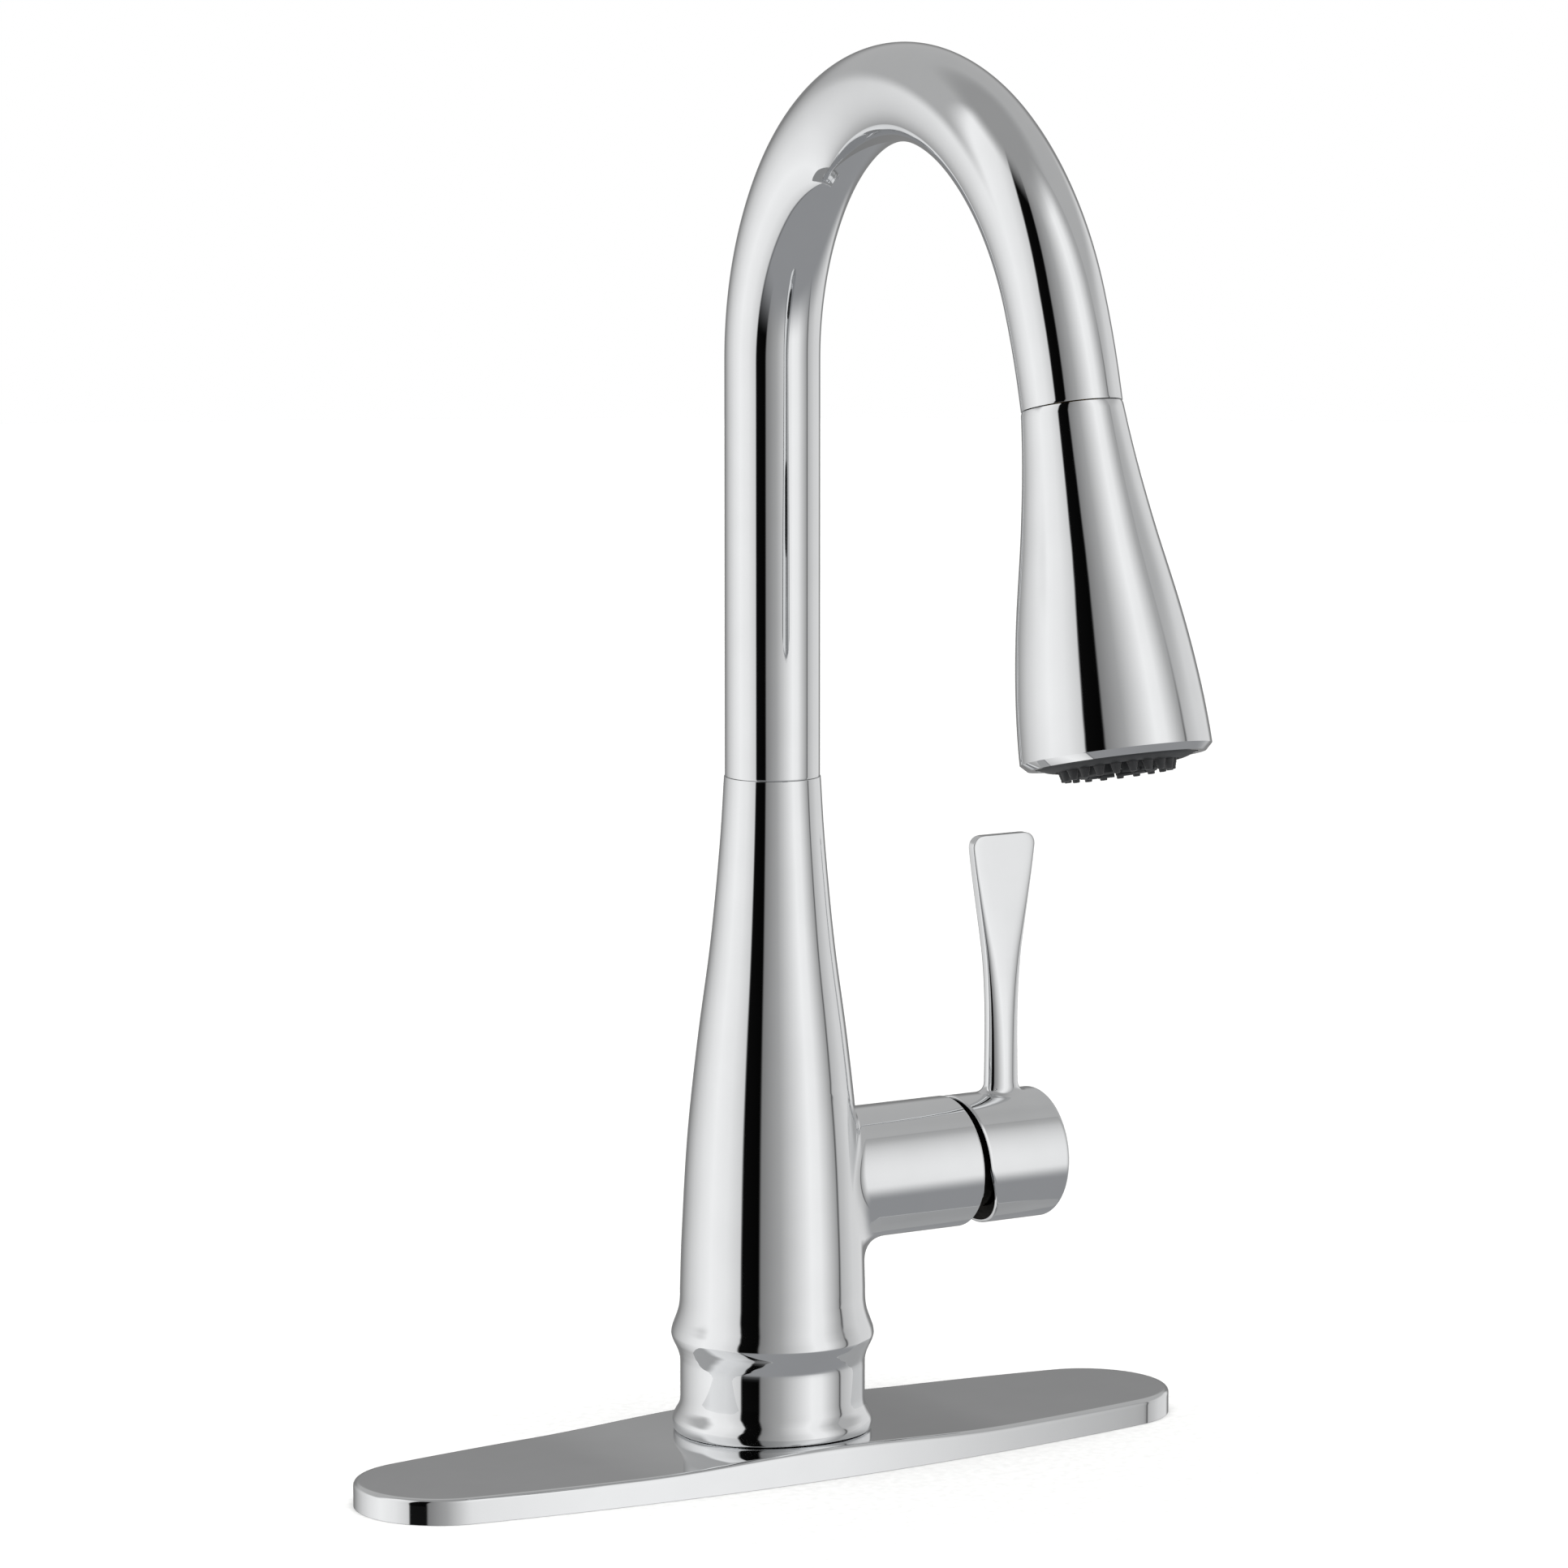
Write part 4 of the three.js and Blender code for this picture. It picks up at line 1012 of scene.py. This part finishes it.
class FAUCET_OT_spray_face(bpy.types.Operator):
    """Spray face: the swollen dark plate, ribbed rubber nozzles and the notched stream outlet"""
    bl_idname = "faucet.spray_face"
    bl_label = "Spray face"

    def execute(self, context):
        edge = FACE_RADIUS - GAP
        dome = smooth([(edge - 0.3, 91.4), (19.7, 92.05), (18.4, 92.6), (17.1, 92.95),
                       (15.9, 93.1)], 4)
        face = turn("face_plate", [(10.5, 86.4), (edge, 86.4), (edge, 91.1), *dome, (15.9, 90.6),
                                   (10.5, 90.6)], HEAD, 96)
        break_edges(face, 0.15, 2, 50)
        settle(face, "spray_head", "dark_plastic", "spray_plate")

        seat = turn("seat", [(10.6, 90.9), (15.6, 90.9), (15.6, 92.2), (15.3, 92.5), (10.9, 92.5),
                             (10.6, 92.2)], HEAD, 96)
        ribbed = [(0, 92.1), (1.72, 92.1), (1.72, 92.6), (1.46, 93), (1.5, 93.25), (1.28, 93.65),
                  (1.32, 93.9), (1.1, 94.3), (1.14, 94.55), (0.96, 94.85), (0.95, 95.4), (0.8, 95.6),
                  (0.4, 95.6), (0.34, 95.2), (0, 95.1)]
        first = turn("nozzle", ribbed, HEAD @ Matrix.Translation((NOZZLE_RING, 0, 0)), 14)
        nozzles = [first]
        for i in range(1, NOZZLES):
            spin = HEAD @ Matrix.Rotation(2 * math.pi * i / NOZZLES, 4, "Z") @ HEAD.inverted()
            spin.translation *= MM
            nozzles.append(link(bpy.data.objects.new("nozzle", first.data.copy())))
            nozzles[-1].data.transform(spin)
        ring = gather("nozzles", [seat, *nozzles])
        settle(ring, "spray_head", "rubber", "nozzle_ring", "nozzle", 40)

        cup = [(0, 84), (10.2, 84), (10.2, 94.9), (9.85, 95.3), (8.75, 95.3), (8.4, 94.9), (8.4, 93.8),
               (7.9, 93.8), (7.7, 93.5), (6.2, 93.5), (6, 93.8), (5.2, 93.8), (5, 93.5), (3.6, 93.5),
               (3.4, 93.8), (2.6, 93.8), (2.4, 93.5), (1.1, 93.5), (0.9, 93.8), (0, 93.8)]
        outlet = turn("stream_outlet", cup, HEAD, 96)
        for i in range(6):
            turned = HEAD @ Matrix.Rotation(math.pi * i / 6, 4, "Z")
            carve(outlet, block("notch", (-12, -0.35, 94.3), (12, 0.35, 97), turned))
        settle(outlet, "spray_head", "dark_plastic", "aerator")
        return {"FINISHED"}


# ---- turned pieces ----
def washer(inner, outer, low, high):
    return [(inner, low), (outer, low), (outer, high), (inner, high)]


BONNET_RADIUS = HUB_CAVITY - 0.9
BONNET_PROFILE = [(BONNET_RADIUS, 52), *arc((0, PIVOT_X), BONNET_RADIUS, -6, 50, 16),
                  *arc((0, PIVOT_X), BONNET_RADIUS - 1.5, 48, -6, 14), (BONNET_RADIUS - 1.5, 52)]
COUPLING_PROFILE = [(0, -92), (4.4, -92), (5, -91.4), (5, -84), (6.4, -84), (7, -83.4), (7, -80),
                    (6.7, -79.7), (6.7, -78.7), (7, -78.4), (7, -73), (6.7, -72.7), (6.7, -71.7),
                    (7, -71.4), (7, -68), (5.8, -66.4), (0, -66.4)]
SPOUT_STEM_PROFILE = [(7.2, 118.6), (9.4, 118.6), (9.4, 120.2), (8.6, 120.2), (8.6, 122.5),
                      (9.4, 122.5), (9.4, 190.6), (11.2, 190.6), (11.2, 208), (7.2, 208)]
SOCKET_PROFILE = [(2.6, -19), (5.2, -19), (5.6, -18.6), (5.6, -15), (5.2, -14.6), (5.2, -13.4),
                  (5.6, -13), (5.6, -4), (6.9, -2), (6.9, 14), (2.6, 14)]
DOCK_PROFILE = [(7.6, -12), (10.9, -12), (10.9, -1.4), (10.1, -0.6), (8.9, -0.6), (8.9, -1.8),
                (8.2, -1.8), (8.2, -0.9), (7.6, -0.9)]
PLUG_PROFILE = [(0, -17.9), (2, -17.9), (2, -13.4), (0, -13.4)]
FOOT_SEAL = washer(21.8, 24.2, BODY_BOTTOM, BODY_BOTTOM + 1.2)
NUT_SCREW_X = 20.6

# The turned pieces: for each frame, body and finish, the names, the nodes they stand for and their
# profiles.
TURNED = (
    (VALVE, "base", "chrome", (("valve_dome", "bonnet", BONNET_PROFILE),)),
    (HEAD, "spout", "dark_plastic", (("dock_ring", "dock_collar", DOCK_PROFILE),)),
    (HEAD, "hose_end", "brass", (("socket_stub", "hose_socket", SOCKET_PROFILE),)),
    (PART, "spout", "brass", (("riser_stem", "spout_stem", SPOUT_STEM_PROFILE),)),
    (PART, "spout", "white_plastic", (
        ("riser_bearing_upper", "spout_bearing_upper", washer(9.7, 11.6, 176, 190)),
        ("riser_bearing_lower", "spout_bearing_lower", washer(9.7, 11.6, 124, 138)))),
    (PART, "spout", "rubber", (
        ("riser_friction_ring", "spout_friction_ring", washer(9.7, 11.6, 150, 152.2)),)),
    (PART, "spout", "brass", (("hose_fitting", "hose_coupling", COUPLING_PROFILE),)),
    (PART, "base", "rubber", (
        ("foot_seal", "body_seal", FOOT_SEAL),
        ("soft_washer", "deck_washer_rubber", washer(16.9, 26, -30.2, -27.7)))),
    (PART, "base", "steel", (
        ("metal_washer", "deck_washer_steel", washer(16.9, 26, -32.6, -30.5)),)),
    (VALVE, "base", "white_plastic", (
        ("cap_ring", "cartridge_cap", washer(9.2, 11.1, 38.9, 43.6)),)),
    (HEAD, "hose_end", "rubber", (("socket_washer", "inlet_washer", washer(2.6, 6.9, 14.3, 16)),)),
    (HEAD, "spray_head", "white_plastic", (
        ("non_return_valve", "check_valve", washer(2.2, 6.9, 16.4, 23.4)),
        ("flow_ring", "flow_disc", washer(3.4, 9, 80, 83.4)))),
    (GRUB_PLACE, "lever", "grey_plastic", (("hub_plug", "set_screw_plug", PLUG_PROFILE),)),
)


class FAUCET_OT_turned_pieces(bpy.types.Operator):
    """Turned and moulded round pieces: dome, dock, stems, bearings, washers, seals and plugs"""
    bl_idname = "faucet.turned_pieces"
    bl_label = "Turned pieces"

    def execute(self, context):
        for place, body, finish, rows in TURNED:
            for name, cad_node, profile in rows:
                piece = turn(name, profile, place, 72)
                break_edges(piece)
                settle(piece, body, finish, cad_node)
        return {"FINISHED"}


# ---- fixings under the deck ----
SHANK_RADIUS = 16.6
SHANK_BORE = 14.6
SHANK_BOTTOM = -62
SHANK_TOP = 28
SHANK_SIDES = 48
THREAD_DEPTH = 0.75
THREAD_SPAN = (SHANK_BOTTOM + 1.5, -2.0)


class FAUCET_OT_shank(bpy.types.Operator):
    """Mounting shank with a real helical thread below the deck"""
    bl_idname = "faucet.shank"
    bl_label = "Threaded shank"

    def execute(self, context):
        pitch = context.scene.faucet_sizes.thread_pitch / MM
        low, high = THREAD_SPAN
        rows = round((high - low) / pitch * 8)
        rings = []
        for k in range(rows + 1):
            z = mix(low, high, k / rows)
            fade = min(1, (z - low) / 2, (high - z) / 2)
            ring = []
            for i in range(SHANK_SIDES):
                share = (z / pitch - i / SHANK_SIDES) % 1
                cut_in = THREAD_DEPTH * fade * (1 - abs(2 * share - 1))
                r, t = SHANK_RADIUS - cut_in, 2 * math.pi * i / SHANK_SIDES
                ring.append((r * math.cos(t), r * math.sin(t), z))
            rings.append(ring)
        before = [circle(r, z, SHANK_SIDES) for r, z in (
            (SHANK_BORE, SHANK_TOP), (SHANK_BORE, SHANK_BOTTOM),
            (SHANK_RADIUS - 0.9, SHANK_BOTTOM), (SHANK_RADIUS, SHANK_BOTTOM + 0.9))]
        after = [circle(r, z, SHANK_SIDES) for r, z in (
            (SHANK_RADIUS, SHANK_TOP - 0.5), (SHANK_RADIUS - 0.5, SHANK_TOP))]
        piece = skin("threaded_shank", before + rings + after)
        close_up(piece)
        settle(piece, "base", "brass", "mounting_shank")
        return {"FINISHED"}


class FAUCET_OT_fixings(bpy.types.Operator):
    """Hexagon nut, its two clamp screws and the three water pipes"""
    bl_idname = "faucet.fixings"
    bl_label = "Nut, screws and pipes"

    def execute(self, context):
        nut = turn("hex_nut", [(0, -46), (22.6, -46), (24, -45.2), (24, -34), (22.6, -33.2),
                               (0, -33.2)], PART, 6)
        sides = [(word, Matrix.Translation((x, 0, 0)))
                 for word, x in (("left", -NUT_SCREW_X), ("right", NUT_SCREW_X))]
        for radius, place, steps in ((16.9, PART, 72), *((1.9, place, 24) for _, place in sides)):
            bore = [(0, -50), (radius, -50), (radius, -30), (0, -30)]
            carve(nut, turn("bore", bore, place, steps))
        break_edges(nut, 0.2, 2, 20)
        settle(nut, "base", "brass", "mounting_nut")
        screw_profile = [(0, -51), (2.6, -51), (3, -50.6), (3, -47.4), (1.6, -47.4), (1.6, -33.4),
                         (1.2, -32.8), (0, -32.8)]
        for word, place in sides:
            screw = turn(f"clamp_screw_{word}", screw_profile, place, 40)
            carve(screw, block("slot", (-0.6, -4, -52), (0.6, 4, -49.8), place))
            break_edges(screw, 0.12, 2, 50)
            settle(screw, "base", "steel", f"nut_screw_{word}")
        pipe_profile = [(1.9, -80), (2.8, -80), (3, -79.6), (3, -76), (2.7, -75.7), (2.7, -74.3),
                        (3, -74), (3, 37.5), (1.9, 37.5)]
        for name, cad_node, x, y in (("pipe_hot", "hot_inlet", 8.4, 7.1),
                                     ("pipe_cold", "cold_inlet", 8.4, -7.1),
                                     ("pipe_mixed", "mixed_outlet", 11, 0)):
            pipe = turn(name, pipe_profile, Matrix.Translation((x, y, 0)), 36)
            settle(pipe, "base", "brass", cad_node)
        return {"FINISHED"}


class FAUCET_OT_inner_finishes(bpy.types.Operator):
    """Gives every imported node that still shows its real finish"""
    bl_idname = "faucet.inner_finishes"
    bl_label = "Inner finishes"

    def execute(self, context):
        looks = finishes()
        slots = {part["node"]: part["material_slot"] for part in frame["record"]["subparts"]}
        for name, cad in frame["nodes"].items():
            look = looks[slots[name]]
            for place in cad.material_slots:
                place.material = look
        return {"FINISHED"}


# ---- stage ----
# Brightness round the studio, by the angle to the right of the camera: (degrees, grey).
STUDIO = ((-180, "#7A7A7A"), (-157, "#7C7C7C"), (-124, "#C8C8C8"), (-104, "#E0E0E0"), (-84, "#EEEEEE"),
          (-60, "#E4E4E4"), (-41, "#CCCCCC"), (-39, "#0A0A0A"), (-17, "#050505"), (-14, "#7C7C7C"),
          (10, "#A0A0A0"), (50, "#EEEEEE"), (64, "#E8E8E8"), (91, "#969696"), (93, "#3C3C3C"),
          (96, "#B2B2B2"), (120, "#CECECE"), (148, "#D2D2D2"), (157, "#7C7C7C"), (180, "#7A7A7A"))
CAMERA_SPOT = (-0.9968, -1.6022, 0.4551)
CAMERA_TURN = (82.0, 0.0, -31.985)
CHROME_SHARE = 0.81  # how much light the plating gives back, which the studio makes up for


def studio_world(world):
    """A soft studio round the object: tall pale panels with dark gaps, and an even grey ceiling."""
    world.use_nodes = True
    tree = world.node_tree
    tree.nodes.clear()
    way = node(tree, "ShaderNodeTexCoord").outputs["Generated"]
    facing = math.atan2(CAMERA_SPOT[1], CAMERA_SPOT[0])
    turned = node(tree, "ShaderNodeVectorRotate", {"rotation_type": "Z_AXIS"},
                  {"Vector": way, "Angle": -facing})
    parts = node(tree, "ShaderNodeSeparateXYZ", inputs={"Vector": turned.outputs["Vector"]}).outputs
    angle = node(tree, "ShaderNodeMath", {"operation": "ARCTAN2"},
                 {0: parts["Y"], 1: parts["X"]}).outputs[0]
    away = node(tree, "ShaderNodeMath", {"operation": "ABSOLUTE"}, {0: angle}).outputs[0]
    share = node(tree, "ShaderNodeMapRange",
                 inputs={"Value": angle, "From Min": -math.pi, "From Max": math.pi})
    ramp = node(tree, "ShaderNodeValToRGB", inputs={"Fac": share.outputs["Result"]})
    stops = ramp.color_ramp.elements
    stops.remove(stops[0])
    for i, (degrees, code) in enumerate(STUDIO):
        stop = stops[0] if i == 0 else stops.new((degrees + 180) / 360)
        stop.position = (degrees + 180) / 360
        stop.color = (*colour(code), 1)
    # Panels laid over it in turn, each a grey and what it fades in by, as (value, from, to):
    # the bench below on the right, the raised panel at the far side, and the ceiling.
    panels = (("#8A8B8D", ((parts["Z"], -0.22, -0.56), (angle, -0.76, -0.6))),
              ("#A8A8A8", ((away, 1.4, 1.7), (parts["Z"], 0.16, 0.42))),
              ("#929292", ((parts["Z"], 0.8, 0.96),)))
    over = ramp.outputs["Color"]
    for code, fades in panels:
        cover = 1.0
        for value, start, full in fades:
            fade = node(tree, "ShaderNodeMapRange", {"interpolation_type": "SMOOTHSTEP"},
                        {"Value": value, "From Min": start, "From Max": full}).outputs["Result"]
            cover = node(tree, "ShaderNodeMath", {"operation": "MULTIPLY"},
                         {0: cover, 1: fade}).outputs[0]
        over = node(tree, "ShaderNodeMix", {"data_type": "RGBA"},
                    {"Factor": cover, "A": over, "B": (*colour(code), 1)}).outputs["Result"]
    light = node(tree, "ShaderNodeBackground", inputs={"Color": over, "Strength": 1 / CHROME_SHARE})
    plain = node(tree, "ShaderNodeBackground", inputs={"Color": (1, 1, 1, 1), "Strength": 1.0})
    seen = node(tree, "ShaderNodeLightPath").outputs["Is Camera Ray"]
    both = node(tree, "ShaderNodeMixShader",
                inputs={0: seen, 1: light.outputs[0], 2: plain.outputs[0]})
    node(tree, "ShaderNodeOutputWorld", inputs={"Surface": both.outputs[0]})


class FAUCET_OT_stage(bpy.types.Operator):
    """Pale worktop with its deck hole, soft studio light and the camera"""
    bl_idname = "faucet.stage"
    bl_label = "Stage"

    def execute(self, context):
        scene = context.scene
        bpy.ops.object.select_all(action="DESELECT")
        bpy.ops.mesh.primitive_circle_add(vertices=96, radius=DECK_HOLE_RADIUS * MM)
        counter = context.object
        counter.name = "worktop"
        edit()
        bpy.ops.transform.translate(value=(0, 0, -0.0001))
        for grow in (4, 12, 4):
            bpy.ops.mesh.extrude_edges_move()
            bpy.ops.transform.resize(value=(grow, grow, 1), center_override=(0, 0, 0))
        done()
        counter.data.materials.append(finishes()["counter"])
        counter.visible_glossy = False

        scene.world = scene.world or bpy.data.worlds.new("studio")
        studio_world(scene.world)
        sun = bpy.data.lights.new("soft overhead light", "SUN")
        sun.energy = 2.6
        sun.angle = math.radians(50)
        holder = link(bpy.data.objects.new("soft overhead light", sun))
        holder.rotation_euler = (math.radians(12), 0, math.radians(-30))
        holder.visible_glossy = False

        lens = bpy.data.cameras.new("camera")
        lens.sensor_width = 36
        lens.lens = 158.38
        lens.clip_end = 50
        camera = link(bpy.data.objects.new("camera", lens))
        camera.location = CAMERA_SPOT
        camera.rotation_euler = [math.radians(a) for a in CAMERA_TURN]
        scene.camera = camera
        scene.view_settings.view_transform = "Standard"
        return {"FINISHED"}


# ---- add-on ----
OPERATORS = (
    FAUCET_OT_stage, FAUCET_OT_inner_finishes, FAUCET_OT_deck_plate, FAUCET_OT_body, FAUCET_OT_handle,
    FAUCET_OT_spout, FAUCET_OT_hose, FAUCET_OT_head_shell, FAUCET_OT_rocker, FAUCET_OT_spray_face,
    FAUCET_OT_turned_pieces, FAUCET_OT_shank, FAUCET_OT_fixings,
)


class FAUCET_PT_sidebar(bpy.types.Panel):
    """Lists the faucet's sizes, colours and pieces"""
    bl_idname = "FAUCET_PT_sidebar"
    bl_label = "Pull-down faucet"
    bl_space_type = "VIEW_3D"
    bl_region_type = "UI"
    bl_category = "Faucet"

    def draw(self, context):
        for group in (context.scene.faucet_sizes, context.scene.faucet_colours):
            box = self.layout.box()
            for name in group.__annotations__:
                box.prop(group, name)
        for operator in OPERATORS:
            self.layout.operator(operator.bl_idname)


CLASSES = (FaucetSizes, FaucetColours, *OPERATORS, FAUCET_PT_sidebar)


def register():
    for cls in CLASSES:
        bpy.utils.register_class(cls)
    bpy.types.Scene.faucet_sizes = bpy.props.PointerProperty(type=FaucetSizes)
    bpy.types.Scene.faucet_colours = bpy.props.PointerProperty(type=FaucetColours)


def unregister():
    del bpy.types.Scene.faucet_colours
    del bpy.types.Scene.faucet_sizes
    for cls in reversed(CLASSES):
        bpy.utils.unregister_class(cls)


def main():
    register()
    for operator in OPERATORS:
        group, name = operator.bl_idname.split(".")
        getattr(getattr(bpy.ops, group), name)()


if __name__ == "__main__":
    main()
